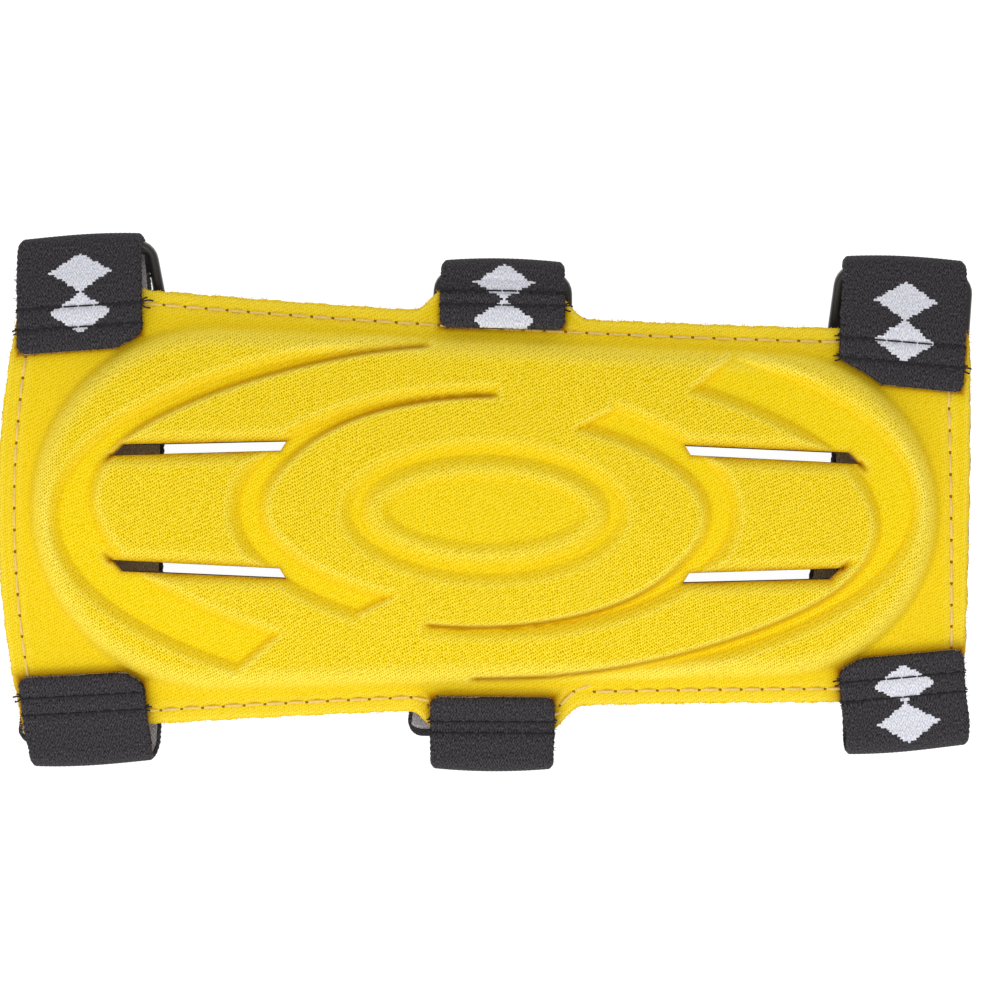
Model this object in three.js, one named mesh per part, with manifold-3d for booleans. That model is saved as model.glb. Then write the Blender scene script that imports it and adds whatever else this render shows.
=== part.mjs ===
// A moulded arm guard for archery, lying face up on its own straps.
//
// The pad is foam pressed to shape between a knit face and a lining. Three elastic straps are
// hemmed and sewn to one long edge, fold under it, run behind the pad and turn back round the
// lower bar of a slide buckle. The top bar of each buckle hangs in a short elastic loop, which
// is sewn to the other long edge. The forearm goes between the lining and the straps.
//
// Millimetres. X runs along the forearm from the elbow end to the wrist end, Y across it from
// the straps' hems to the loops, and Z up, out of the knit face. The pad is drawn about its own
// centre, and the whole guard is then moved so that the origin is the middle of its footprint,
// on the surface that it lies on.

import * as THREE from "three";
import { mergeVertices } from "three/addons/utils/BufferGeometryUtils.js";
import Module from "manifold-3d";

const wasm = await Module();
wasm.setup();

const { degToRad, lerp, smoothstep } = THREE.MathUtils;

// Driving dimensions

const GAP = 0.3; // clearance between pieces that lie on each other

// The pad seen from above: a long edge is a parabola that widens towards the elbow.
const ELBOW_X = -92.4;
const WRIST_X = 96;
const ELBOW_HALF = 45.5;
const WRIST_HALF = 37.2;
const ELBOW_BULGE = 4.3; // how far the elbow edge bows out past its corners
const CORNER = 2; // how far each corner is cut back
const TAB = { x: 2.6, tipHalf: 10.5, baseHalf: 17.3, rise: 5.2 }; // carries the middle strap

// Thicknesses, and the dome that stands on the flange: an oval of two circles and their tangents.
const LINING_THICKNESS = 0.9;
const LINING_LIP = 0.3; // how far the lining shows past the wrist edge
const FLANGE_THICKNESS = 2.2;
const DOME = { elbowX: -53.8, elbowRadius: 37, wristX: 57.2, wristRadius: 33.2, rise: 4.5 };
const DOME_WALL = [
  { inset: 0, share: 0 },
  { inset: 1, share: 0.5 },
  { inset: 2.6, share: 0.86 },
  { inset: 5, share: 1 },
];

// The bow that the moulding gives the pad across the arm, and its lean on the buckles.
const ARCH_RADIUS = 150;
const CROWN_HEIGHT = 13.5;
const LEAN = Math.tan(degToRad(4));
const BEND_PITCH = 10; // spacing of the lines that the pad's faces are bent along

// Moulded grooves: each follows an ellipse from a thin tail to a blunt end, and widens inwards.
// Angles are in degrees on the ellipse. Each shape is cut twice, the second time turned by half a turn.
const OUTER_GROOVE = {
  centreY: -2,
  radiusX: 85.2,
  radiusY: 36,
  outerEnd: 235,
  innerEnd: 239.5,
  sections: [
    { angle: 86, width: 0.5, depth: 0.8 },
    { angle: 100, width: 0.9, depth: 1.4 },
    { angle: 125, width: 2.6, depth: 1.9 },
    { angle: 152, width: 3.2, depth: 2 },
    { angle: 180, width: 9, depth: 2 },
    { angle: 205, width: 9.4, depth: 2 },
    { angle: 225, width: 9.2, depth: 2 },
    { angle: 243, width: 8.2, depth: 1.8 },
  ],
};
const INNER_GROOVE = {
  centreY: 0,
  radiusX: 49.4,
  radiusY: 23.8,
  outerEnd: 239,
  innerEnd: 246.5,
  sections: [
    { angle: 74, width: 0.5, depth: 0.8 },
    { angle: 88, width: 0.8, depth: 1.4 },
    { angle: 125, width: 1.9, depth: 1.9 },
    { angle: 150, width: 4.4, depth: 2 },
    { angle: 180, width: 5.6, depth: 2 },
    { angle: 210, width: 5.3, depth: 2 },
    { angle: 250, width: 4.9, depth: 1.8 },
  ],
};
const GROOVES = [
  { shape: OUTER_GROOVE, tail: 97.5, turned: false },
  { shape: OUTER_GROOVE, tail: 88, turned: true },
  { shape: INNER_GROOVE, tail: 87, turned: false },
  { shape: INNER_GROOVE, tail: 75.6, turned: true },
];
const GROOVE_STEPS = 22;
const GROOVE_DRAFT = 0.7; // how far a groove's wall leans outwards from mid depth
const GROOVE_FLOOR = 0.1; // least width of a groove's floor

// The medallion at the middle: an oval groove round a sunk oval plate.
const MEDALLION = {
  groove: { outer: [27.8, 13.4], inner: [23.4, 10], depth: 1.4, draft: 0.6 },
  plate: { radii: [20, 7.4], depth: 1, draft: 0.5 },
  steps: 36,
};

// The corners of one vent slot, which is mirrored into all four quarters of the pad. The slot in
// the last quarter stops short of its neighbours.
const SLOT_CORNERS = [
  { x: 39.3, y: 13.7, outerEnd: false, innerSide: false },
  { x: 71.9, y: 12.6, outerEnd: true, innerSide: false },
  { x: 74.1, y: 10.3, outerEnd: true, innerSide: true },
  { x: 40.6, y: 11.6, outerEnd: false, innerSide: true },
];
const SLOT_QUARTERS = [
  { signX: 1, signY: 1, shorter: 0 },
  { signX: -1, signY: 1, shorter: 0 },
  { signX: -1, signY: -1, shorter: 0 },
  { signX: 1, signY: -1, shorter: 3.2 },
];
const LINING_SLOT_INSET = 0.15; // the lining's slots are cut this much smaller

// Elastic
const STRAP_WIDTH = 24.8;
const BUCKLED_WIDTH = 23.4; // elastic is squeezed together where it passes through a buckle
const STRAP_THICKNESS = 1.2;
const HEM_THICKNESS = 2 * STRAP_THICKNESS;
const FOLD_STEPS = 8;
const HEM_EDGE = 1; // the hem ends this far inside the pad's edge
const LOOP_DROP = 0.25; // slope of a loop's front between the pad's edge and its fold
const LOOP_REAR_HEIGHT = 5; // a loop's rear layer where it passes under the buckle's top bar
const LOOP_REAR_REACH = { near: 2, far: 7 }; // how far under the pad it meets the lining, and ends
const STRAP_DROP = 0.1; // slope of a strap's front between the pad's edge and its fold
const STRAP_RISE = { foot: 14, head: 4 }; // a rear layer climbs onto the lower bar between these
const STRAP_SQUARE = 5; // a rear layer runs straight across the arm from this far inside its fold
const TAIL_FALL = 6; // a tail lies flat from this far past the lower bar

// Slide buckle: a frame with two windows.
const BUCKLE = { width: 29.2, window: 24.6, thickness: 2.6, bar: 2.8, upper: 8, lower: 6.6, corner: 4.2 };
const BUCKLE_TAPER = 0.06; // how much narrower the frame is at its top, as a share
const BUCKLE_EASE = { bevel: 0.6, windowCorner: 0.8 };
const BAR_SPAN = BUCKLE.upper + BUCKLE.lower + 2 * BUCKLE.bar; // top bar's middle to lower bar's
const TOP_BAR_HEIGHT = 8.8;
const TOP_BAR_SLACK = 1.3; // between the top bar and the inside of the loop's fold
const LOWER_BAR_SLACK = 0.2; // above and below the lower bar, besides the clearance
const WRAP_SHIFT = 0.7; // the strap's turn is centred this far past the lower bar's middle
const TAIL_HEIGHT = STRAP_THICKNESS / 2;
const REAR_HEIGHT = TAIL_HEIGHT + STRAP_THICKNESS + GAP;
const LOWER_BAR_HEIGHT = STRAP_THICKNESS + GAP + BUCKLE.thickness / 2 + LOWER_BAR_SLACK;
const BUCKLE_TILT = Math.asin((TOP_BAR_HEIGHT - LOWER_BAR_HEIGHT) / BAR_SPAN);

// Where each strap, its loop and its buckle lie. hem and fold are the middles of a band's front at
// those ends, and the buckle's x is that of its top bar. Turns are in degrees, counter-clockwise
// seen from above.
const STRAPS = [
  {
    name: "elbow",
    loop: { hem: { x: -80.7, y: 31.1, turn: 4.8 }, fold: { x: -81.5, y: 54.7, turn: 3.4 } },
    buckle: { x: -80.2, turn: 8 },
    front: { hem: { x: -80.4, y: -33.4, turn: 3.6 }, fold: { x: -78.6, y: -51.9, turn: 4.2 } },
    tail: { x: -81.6, y: -48 },
  },
  {
    name: "middle",
    loop: { hem: { x: 3, y: 36.4, turn: -0.7 }, fold: { x: 3, y: 50.8, turn: -0.2 } },
    buckle: { x: 3.1, turn: -1.2 },
    front: { hem: { x: 1.9, y: -37, turn: 0.3 }, fold: { x: 1.9, y: -52.2, turn: 0.3 } },
    tail: { x: -3, y: -45.5 },
  },
  {
    name: "wrist",
    loop: { hem: { x: 82, y: 25.8, turn: -5.4 }, fold: { x: 83.1, y: 52.2, turn: -1.6 } },
    buckle: { x: 83.4, turn: -3.6 },
    front: { hem: { x: 83, y: -27.5, turn: 6 }, fold: { x: 85, y: -47.2, turn: 6 } },
    tail: { x: 75, y: -30 },
  },
];

const KNIT = { color: 0xf0d028, roughness: 0.9, metalness: 0 };
const LINING = { color: 0x2a2725, roughness: 0.95, metalness: 0 };
const ELASTIC = { color: 0x343133, roughness: 0.9, metalness: 0 };
const PLASTIC = { color: 0x1c1b1b, roughness: 0.35, metalness: 0 };

// The pad's form

/** Half the pad's width at x, without the tab. */
function halfWidth(x) {
  const towardsElbow = (WRIST_X - x) / (WRIST_X - ELBOW_X);
  return WRIST_HALF + (ELBOW_HALF - WRIST_HALF) * towardsElbow ** 2;
}

/** How far the tab stands out of the long edge at x. */
function tabRise(x) {
  const flank = TAB.baseHalf - TAB.tipHalf;
  return TAB.rise * smoothstep((TAB.baseHalf - Math.abs(x - TAB.x)) / flank, 0, 1);
}

/** Height of the lining's underside, which is bowed across the arm. */
function backHeight(y) {
  return CROWN_HEIGHT + LEAN * y - (ARCH_RADIUS - Math.sqrt(ARCH_RADIUS ** 2 - y ** 2));
}

// Heights above the lining's underside
const FOAM_BASE = LINING_THICKNESS + GAP;
const FLANGE_TOP = FOAM_BASE + FLANGE_THICKNESS;
const DOME_TOP = FLANGE_TOP + DOME.rise;

/** Evenly spaced values from first to last, both included. */
function spread(first, last, steps) {
  return Array.from({ length: steps + 1 }, (_, i) => lerp(first, last, i / steps));
}

// Plan outlines, counter-clockwise

/** The pad's outline. lip lengthens it at the wrist edge. */
function padOutline(lip = 0) {
  const flank = TAB.baseHalf - TAB.tipHalf;
  const stations = [
    ...spread(WRIST_X + lip - CORNER, TAB.x + TAB.baseHalf + flank, 6),
    ...spread(TAB.x + TAB.baseHalf, TAB.x + TAB.tipHalf, 5),
    ...spread(TAB.x - TAB.tipHalf, TAB.x - TAB.baseHalf, 5),
    ...spread(TAB.x - TAB.baseHalf - flank, ELBOW_X + CORNER, 8),
  ];
  const upper = stations.map((x) => new THREE.Vector2(x, halfWidth(x) + tabRise(x)));
  const elbow = spread(ELBOW_HALF - CORNER, 0, 6).map(
    (y) => new THREE.Vector2(ELBOW_X - ELBOW_BULGE * (1 - (y / ELBOW_HALF) ** 2), y),
  );
  const half = [new THREE.Vector2(WRIST_X + lip, WRIST_HALF - CORNER), ...upper, ...elbow];
  const mirrored = half.slice(0, -1).map((p) => new THREE.Vector2(p.x, -p.y));
  return [...half, ...mirrored.reverse()];
}

/** The dome's outline: two circles and the lines that touch both, moved in by inset. */
function domeOutline(inset) {
  const { elbowX, elbowRadius, wristX, wristRadius } = DOME;
  const touch = Math.acos((elbowRadius - wristRadius) / (wristX - elbowX));
  const arc = (x, radius, from, to, steps) =>
    spread(from, to, steps).map(
      (a) => new THREE.Vector2(x + (radius - inset) * Math.cos(a), (radius - inset) * Math.sin(a)),
    );
  return [
    ...arc(wristX, wristRadius, -touch, touch, 24),
    ...arc(elbowX, elbowRadius, touch, 2 * Math.PI - touch, 26),
  ];
}

/** An ellipse about the pad's centre. */
function ellipseOutline([radiusX, radiusY], grow, steps) {
  return spread(0, 2 * Math.PI, steps)
    .slice(0, -1)
    .map((a) => new THREE.Vector2((radiusX + grow) * Math.cos(a), (radiusY + grow) * Math.sin(a)));
}

/** A groove's width and depth at an angle, from its table of sections. */
function grooveSection(sections, angle) {
  const next = Math.max(1, sections.findIndex((row) => row.angle >= angle));
  const [a, b] = [sections[next - 1], sections[next]];
  const share = (angle - a.angle) / (b.angle - a.angle);
  return { width: lerp(a.width, b.width, share), depth: lerp(a.depth, b.depth, share) };
}

/** A groove's outline, with the depth at each point. grow widens it on all sides. */
function grooveOutline({ shape, tail, turned }, grow) {
  const { centreY, radiusX, radiusY, outerEnd, innerEnd, sections } = shape;
  const longer = THREE.MathUtils.radToDeg(grow / radiusX);
  const point = (angle, inner) => {
    const { width, depth } = grooveSection(sections, THREE.MathUtils.clamp(angle, tail, innerEnd));
    const a = degToRad(angle);
    const inwards = new THREE.Vector2(-Math.cos(a) / radiusX, -Math.sin(a) / radiusY).normalize();
    const shrink = Math.min(-grow, (width - GROOVE_FLOOR) / 2);
    const place = new THREE.Vector2(radiusX * Math.cos(a), centreY + radiusY * Math.sin(a));
    place.addScaledVector(inwards, inner ? width - shrink : shrink);
    return { place: turned ? place.negate() : place, depth };
  };
  const outer = spread(tail - longer, outerEnd + longer, GROOVE_STEPS).map((a) => point(a, false));
  const inner = spread(innerEnd + longer, tail - longer, GROOVE_STEPS).map((a) => point(a, true));
  return [...outer, ...inner];
}

/** One vent slot, with its long sides moved in by inset. */
function slotOutline({ signX, signY, shorter }, inset) {
  const corners = SLOT_CORNERS.map(({ x, y, outerEnd, innerSide }) => {
    const reach = outerEnd ? x - shorter : x;
    return new THREE.Vector2(signX * reach, signY * (y + (innerSide ? inset : -inset)));
  });
  return signX * signY > 0 ? corners.reverse() : corners;
}

// Solids

/** A closed solid through rings of equally many points, lowest first: { outline, heights }. */
function stack(rings) {
  const count = rings[0].outline.length;
  const positions = rings.flatMap(({ outline, heights }) =>
    outline.flatMap((p, i) => [p.x, p.y, Array.isArray(heights) ? heights[i] : heights]),
  );
  const faces = [];
  for (let ring = 0; ring + 1 < rings.length; ring++) {
    for (let i = 0; i < count; i++) {
      const [a, b] = [ring * count + i, ring * count + ((i + 1) % count)];
      faces.push([a, b, b + count], [a, b + count, a + count]);
    }
  }
  const top = (rings.length - 1) * count;
  for (const [a, b, c] of THREE.ShapeUtils.triangulateShape(rings[0].outline, [])) faces.push([c, b, a]);
  for (const [a, b, c] of THREE.ShapeUtils.triangulateShape(rings.at(-1).outline, []))
    faces.push([top + a, top + b, top + c]);
  return surface(positions, faces);
}

/** A prism with upright walls. */
function prism(outline, low, high) {
  return stack([
    { outline, heights: low },
    { outline, heights: high },
  ]);
}

/** A geometry from flat positions and triples of indices. */
function surface(positions, faces) {
  const geometry = new THREE.BufferGeometry();
  geometry.setAttribute("position", new THREE.Float32BufferAttribute(positions, 3));
  geometry.setIndex(faces.flat());
  geometry.computeVertexNormals();
  return geometry;
}

/** A geometry as a solid that can be joined and cut. */
function solid(geometry) {
  const bare = geometry.clone();
  bare.deleteAttribute("normal");
  bare.deleteAttribute("uv");
  const merged = mergeVertices(bare, 1e-4);
  return new wasm.Manifold(
    new wasm.Mesh({
      numProp: 3,
      vertProperties: new Float32Array(merged.attributes.position.array),
      triVerts: new Uint32Array(merged.index.array),
    }),
  );
}

/** The points and triangles of a solid. */
function facesOf(body) {
  const { numProp, vertProperties, triVerts } = body.getMesh();
  const points = [];
  for (let i = 0; i < vertProperties.length; i += numProp)
    points.push(new THREE.Vector3(...vertProperties.slice(i, i + 3)));
  const faces = [];
  for (let i = 0; i < triVerts.length; i += 3) faces.push([...triVerts.slice(i, i + 3)]);
  return { points, faces };
}

/** Splits the triangles that cross the line y = level, so that the surface can bend along it. */
function splitAt(level, points, faces) {
  const cuts = new Map();
  const cut = (a, b) => {
    const key = a < b ? `${a} ${b}` : `${b} ${a}`;
    if (!cuts.has(key)) {
      const share = (level - points[a].y) / (points[b].y - points[a].y);
      cuts.set(key, points.push(points[a].clone().lerp(points[b], share)) - 1);
    }
    return cuts.get(key);
  };
  const sideOf = (i) => (Math.abs(points[i].y - level) < 1e-3 ? 0 : Math.sign(points[i].y - level));
  return faces.flatMap((face) => {
    const sides = face.map(sideOf);
    if (!sides.includes(1) || !sides.includes(-1)) return [face];
    const above = [];
    const below = [];
    face.forEach((a, k) => {
      if (sides[k] >= 0) above.push(a);
      if (sides[k] <= 0) below.push(a);
      const next = (k + 1) % 3;
      if (sides[k] * sides[next] < 0) {
        const c = cut(a, face[next]);
        above.push(c);
        below.push(c);
      }
    });
    return [above, below].flatMap((ring) => ring.slice(2).map((c, k) => [ring[0], ring[k + 1], c]));
  });
}

/** Bends a flat solid to the pad's bow: each point is raised by the lining's height there. */
function bend(body) {
  const { points, faces } = facesOf(body);
  let bent = faces;
  for (let level = BEND_PITCH / 2; level < ELBOW_HALF; level += BEND_PITCH) {
    bent = splitAt(level, points, bent);
    bent = splitAt(-level, points, bent);
  }
  return surface(
    points.flatMap((p) => [p.x, p.y, p.z + backHeight(p.y)]),
    bent,
  );
}

const THROUGH = { low: -5, high: DOME_TOP + 5 }; // past both faces of the flat pad

/** A cutter for a groove: its floor follows the table of depths, and its walls lean outwards. */
function grooveCutter(groove) {
  const floor = grooveOutline(groove, -GROOVE_DRAFT);
  const mouth = grooveOutline(groove, GROOVE_DRAFT);
  return stack([
    { outline: floor.map((p) => p.place), heights: floor.map((p) => DOME_TOP - p.depth) },
    { outline: mouth.map((p) => p.place), heights: DOME_TOP + 1 },
  ]);
}

/** A cutter for an oval hollow. */
function ovalCutter(radii, depth, draft, steps) {
  return stack([
    { outline: ellipseOutline(radii, -draft, steps), heights: DOME_TOP - depth },
    { outline: ellipseOutline(radii, draft, steps), heights: DOME_TOP + depth },
  ]);
}

/** The moulded pad: a flange, the dome on it, and the grooves, medallion and slots cut from them. */
function padGeometry() {
  const { groove, plate, steps } = MEDALLION;
  const dome = DOME_WALL.map(({ inset, share }) => ({
    outline: domeOutline(inset),
    heights: FLANGE_TOP + share * DOME.rise,
  }));
  const foot = { outline: domeOutline(0), heights: FOAM_BASE + FLANGE_THICKNESS / 2 };
  let pad = solid(prism(padOutline(), FOAM_BASE, FLANGE_TOP)).add(solid(stack([foot, ...dome])));
  for (const row of GROOVES) pad = pad.subtract(solid(grooveCutter(row)));
  const ring = solid(ovalCutter(groove.outer, groove.depth, groove.draft, steps)).subtract(
    solid(stack([
      { outline: ellipseOutline(groove.inner, groove.draft, steps), heights: DOME_TOP - 2 * groove.depth },
      { outline: ellipseOutline(groove.inner, -groove.draft, steps), heights: DOME_TOP + 2 * groove.depth },
    ])),
  );
  pad = pad.subtract(ring).subtract(solid(ovalCutter(plate.radii, plate.depth, plate.draft, steps)));
  for (const quarter of SLOT_QUARTERS)
    pad = pad.subtract(solid(prism(slotOutline(quarter, 0), THROUGH.low, THROUGH.high)));
  return bend(pad);
}

/** The lining under the foam, with its own slots. */
function liningGeometry() {
  let lining = solid(prism(padOutline(LINING_LIP), 0, LINING_THICKNESS));
  for (const quarter of SLOT_QUARTERS) {
    const outline = slotOutline(quarter, LINING_SLOT_INSET);
    lining = lining.subtract(solid(prism(outline, THROUGH.low, THROUGH.high)));
  }
  return bend(lining);
}

// Elastic bands

/** Height of the middle of a band that lies on the flange, lift above it. */
const onFace = (lift) => (y) => backHeight(y) + FLANGE_TOP + lift;

/** Height of the middle of a band that lies under the lining. */
const underLining = (y) => backHeight(y) - GAP - STRAP_THICKNESS / 2;

const HEM_LIFT = GAP + HEM_THICKNESS / 2;
const SINGLE_LIFT = GAP + HEM_THICKNESS - STRAP_THICKNESS / 2;

/**
 * A fold in the Y-Z plane as rows of a band, from straight up (90) to straight down (-90). The band
 * goes from the first { x, turn, width } to the last on the way, most of it past the outermost line.
 */
function foldRows({ y, height, radius, outwards }, first, last) {
  return spread(0, 1, FOLD_STEPS).map((share) => {
    const angle = degToRad(lerp(90, -90, share));
    const late = share ** 2;
    return {
      x: lerp(first.x, last.x, late),
      turn: lerp(first.turn, last.turn, late),
      width: lerp(first.width ?? STRAP_WIDTH, last.width ?? STRAP_WIDTH, late),
      y: y + outwards * radius * Math.cos(angle),
      height: height + radius * Math.sin(angle),
      thickness: STRAP_THICKNESS,
    };
  });
}

/**
 * A flat band through rows of { x, y, height, turn, thickness, width }: the middle of the band, its
 * height there as a number or a function of y, and the turn of the line across it.
 */
function bandGeometry(rows) {
  const edges = rows.map(({ x, y, height, turn, width = STRAP_WIDTH }) =>
    [-1, 1].map((side) => {
      const reach = (side * width) / 2;
      const edgeY = y + reach * Math.sin(degToRad(turn));
      const edgeZ = typeof height === "function" ? height(edgeY) : height;
      return new THREE.Vector3(x + reach * Math.cos(degToRad(turn)), edgeY, edgeZ);
    }),
  );
  const middle = (i) => {
    const [left, right] = edges[THREE.MathUtils.clamp(i, 0, rows.length - 1)];
    return left.clone().add(right).multiplyScalar(0.5);
  };
  const corners = edges.flatMap(([left, right], i) => {
    const along = middle(i + 1).sub(middle(i - 1));
    const across = right.clone().sub(left);
    const up = along.cross(across).setLength(rows[i].thickness / 2);
    return [left.clone().add(up), right.clone().add(up), right.clone().sub(up), left.clone().sub(up)];
  });
  const faces = [[0, 1, 2], [0, 2, 3]];
  for (let row = 0; row + 1 < rows.length; row++) {
    for (let i = 0; i < 4; i++) {
      const [a, b] = [row * 4 + i, row * 4 + ((i + 1) % 4)];
      faces.push([a, b + 4, b], [a, a + 4, b + 4]);
    }
  }
  const last = (rows.length - 1) * 4;
  faces.push([last, last + 2, last + 1], [last, last + 3, last + 2]);
  return surface(corners.flatMap((p) => p.toArray()), faces);
}

/** Hems stop short of the dome's wall. */
function trimToDome(geometry) {
  const keepOut = solid(bend(solid(prism(domeOutline(-GAP), FLANGE_TOP, THROUGH.high))));
  const { points, faces } = facesOf(solid(geometry).subtract(keepOut));
  return surface(points.flatMap((p) => p.toArray()), faces);
}

/** The rows of a hem that lies on the flange, and of the single layer that leaves the pad's edge. */
function hemRows({ hem, fold }, edgeY) {
  const inwards = -Math.sign(edgeY);
  const at = (y) => {
    const share = (y - hem.y) / (fold.y - hem.y);
    return { x: lerp(hem.x, fold.x, share), y, turn: lerp(hem.turn, fold.turn, share) };
  };
  const double = { height: onFace(HEM_LIFT), thickness: HEM_THICKNESS };
  const single = { height: onFace(SINGLE_LIFT), thickness: STRAP_THICKNESS };
  return [
    { ...at(hem.y), ...double },
    { ...at((hem.y + edgeY) / 2), ...double },
    { ...at(edgeY + inwards * HEM_EDGE), ...double },
    { ...at(edgeY + (inwards * HEM_EDGE) / 2), ...single },
  ];
}

const edgeAt = (x) => halfWidth(x) + tabRise(x);

/** The buckle's bars: the top bar hangs in the loop's fold, and the lower bar holds the strap. */
function bars({ loop, buckle }) {
  const turn = degToRad(buckle.turn);
  const topY = loop.fold.y - STRAP_THICKNESS - TOP_BAR_SLACK - BUCKLE.bar / 2;
  const reach = BAR_SPAN * Math.cos(BUCKLE_TILT);
  return {
    top: { x: buckle.x, y: topY, height: TOP_BAR_HEIGHT },
    lower: {
      x: buckle.x + reach * Math.sin(turn),
      y: topY - reach * Math.cos(turn),
      height: LOWER_BAR_HEIGHT,
    },
  };
}

/** A loop: hemmed on the pad's face, folded round the top bar and sewn under the lining. */
function loopGeometry(strap) {
  const { fold } = strap.loop;
  const { turn } = strap.buckle;
  const { top } = bars(strap);
  const edgeY = edgeAt(fold.x);
  const foldTop = onFace(SINGLE_LIFT)(edgeY) - LOOP_DROP * (fold.y - edgeY);
  const radius = (foldTop - LOOP_REAR_HEIGHT) / 2;
  const bowY = fold.y - STRAP_THICKNESS / 2 - radius;
  const bow = { y: bowY, height: LOOP_REAR_HEIGHT + radius, radius, outwards: 1 };
  const inBuckle = (y) => {
    const x = top.x + (top.y - y) * Math.tan(degToRad(turn));
    return { x, y, turn, width: BUCKLED_WIDTH };
  };
  const sewn = { height: underLining, thickness: STRAP_THICKNESS };
  const rows = [
    ...hemRows(strap.loop, edgeY),
    ...foldRows(bow, fold, inBuckle(bowY)),
    { ...inBuckle(edgeY - LOOP_REAR_REACH.near), ...sewn },
    { ...inBuckle(edgeY - LOOP_REAR_REACH.far), ...sewn },
  ];
  return trimToDome(bandGeometry(rows));
}

/** A strap: hemmed on the pad's face, folded under its edge, run to the buckle and turned back. */
function strapGeometry(strap) {
  const { front, tail, buckle } = strap;
  const { fold } = front;
  const { lower } = bars(strap);
  const edgeY = -edgeAt(fold.x);
  const foldTop = onFace(SINGLE_LIFT)(edgeY) - STRAP_DROP * (edgeY - fold.y);
  const radius = (foldTop - REAR_HEIGHT) / 2;
  const bowY = fold.y + STRAP_THICKNESS / 2 + radius;
  const bow = { y: bowY, height: REAR_HEIGHT + radius, radius, outwards: -1 };
  const wrap = BUCKLE.thickness / 2 + LOWER_BAR_SLACK + GAP + STRAP_THICKNESS / 2;
  const turnBack = { y: lower.y + WRAP_SHIFT, height: lower.height, radius: wrap, outwards: 1 };
  const square = { turn: 0, thickness: STRAP_THICKNESS };
  const atBar = { x: lower.x, turn: buckle.turn, thickness: STRAP_THICKNESS, width: BUCKLED_WIDTH };
  const rows = [
    ...hemRows(front, edgeY),
    ...foldRows(bow, fold, fold),
    { ...square, x: fold.x, y: bowY + STRAP_SQUARE, height: REAR_HEIGHT },
    { ...square, x: lower.x, y: lower.y - STRAP_RISE.foot, height: REAR_HEIGHT },
    { ...atBar, y: lower.y - STRAP_RISE.head, height: lower.height + wrap },
    ...foldRows(turnBack, atBar, atBar),
    { ...atBar, y: lower.y - TAIL_FALL, height: TAIL_HEIGHT },
    { ...square, ...tail, height: TAIL_HEIGHT },
  ];
  return trimToDome(bandGeometry(rows));
}

// Buckles

/** A rectangle with round corners, drawn on a shape or as a hole in one. */
function roundedRectangle(path, left, bottom, width, height, corner) {
  const [right, top] = [left + width, bottom + height];
  path.moveTo(left + corner, bottom);
  path.lineTo(right - corner, bottom).absarc(right - corner, bottom + corner, corner, -Math.PI / 2, 0);
  path.lineTo(right, top - corner).absarc(right - corner, top - corner, corner, 0, Math.PI / 2);
  path.lineTo(left + corner, top).absarc(left + corner, top - corner, corner, Math.PI / 2, Math.PI);
  path.lineTo(left, bottom + corner).absarc(left + corner, bottom + corner, corner, Math.PI, 1.5 * Math.PI);
  return path;
}

/** The frame, flat, with the middle of its top bar at the origin. */
function buckleGeometry() {
  const { width, window, thickness, bar, upper, lower, corner } = BUCKLE;
  const { bevel, windowCorner } = BUCKLE_EASE;
  const [top, bottom] = [bar / 2, bar / 2 - upper - lower - 3 * bar];
  const frame = roundedRectangle(new THREE.Shape(), -width / 2, bottom, width, top - bottom, corner);
  const windows = [
    { low: top - bar - upper, height: upper },
    { low: bottom + bar, height: lower },
  ];
  for (const { low, height } of windows)
    frame.holes.push(roundedRectangle(new THREE.Path(), -window / 2, low, window, height, windowCorner));
  const geometry = new THREE.ExtrudeGeometry(frame, {
    depth: thickness - 2 * bevel,
    bevelThickness: bevel,
    bevelSize: bevel,
    bevelOffset: -bevel,
    bevelSegments: 1,
    curveSegments: 3,
  }).translate(0, 0, bevel - thickness / 2);
  const { position } = geometry.attributes;
  for (let i = 0; i < position.count; i++) {
    const up = (position.getY(i) - bottom) / (top - bottom);
    position.setX(i, position.getX(i) * (1 - BUCKLE_TAPER * up));
  }
  return geometry;
}

// The guard

/** Adds a named piece to a group, with a material of its own. */
function addPiece(group, name, geometry, finish) {
  const mesh = new THREE.Mesh(geometry, new THREE.MeshStandardMaterial(finish));
  mesh.name = name;
  group.add(mesh);
}

const guard = new THREE.Group();
addPiece(guard, "moulded_pad", padGeometry(), KNIT);
addPiece(guard, "back_lining", liningGeometry(), LINING);
for (const strap of STRAPS) {
  addPiece(guard, `loop_${strap.name}`, loopGeometry(strap), ELASTIC);
  addPiece(guard, `strap_${strap.name}`, strapGeometry(strap), ELASTIC);
  const { top } = bars(strap);
  const seat = new THREE.Group();
  seat.position.set(top.x, top.y, top.height);
  seat.rotation.set(BUCKLE_TILT, 0, degToRad(strap.buckle.turn), "ZXY");
  addPiece(seat, `buckle_${strap.name}`, buckleGeometry(), PLASTIC);
  guard.add(seat);
}

// The origin is the middle of the footprint, on the surface that the straps lie on.
const footprint = new THREE.Box3().setFromObject(guard, true);
const middle = footprint.getCenter(new THREE.Vector3());
guard.position.set(-middle.x, -middle.y, -footprint.min.z);

export default guard;
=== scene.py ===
import math

import bpy
import numpy as np
from mathutils import Euler, Matrix, Vector


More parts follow.
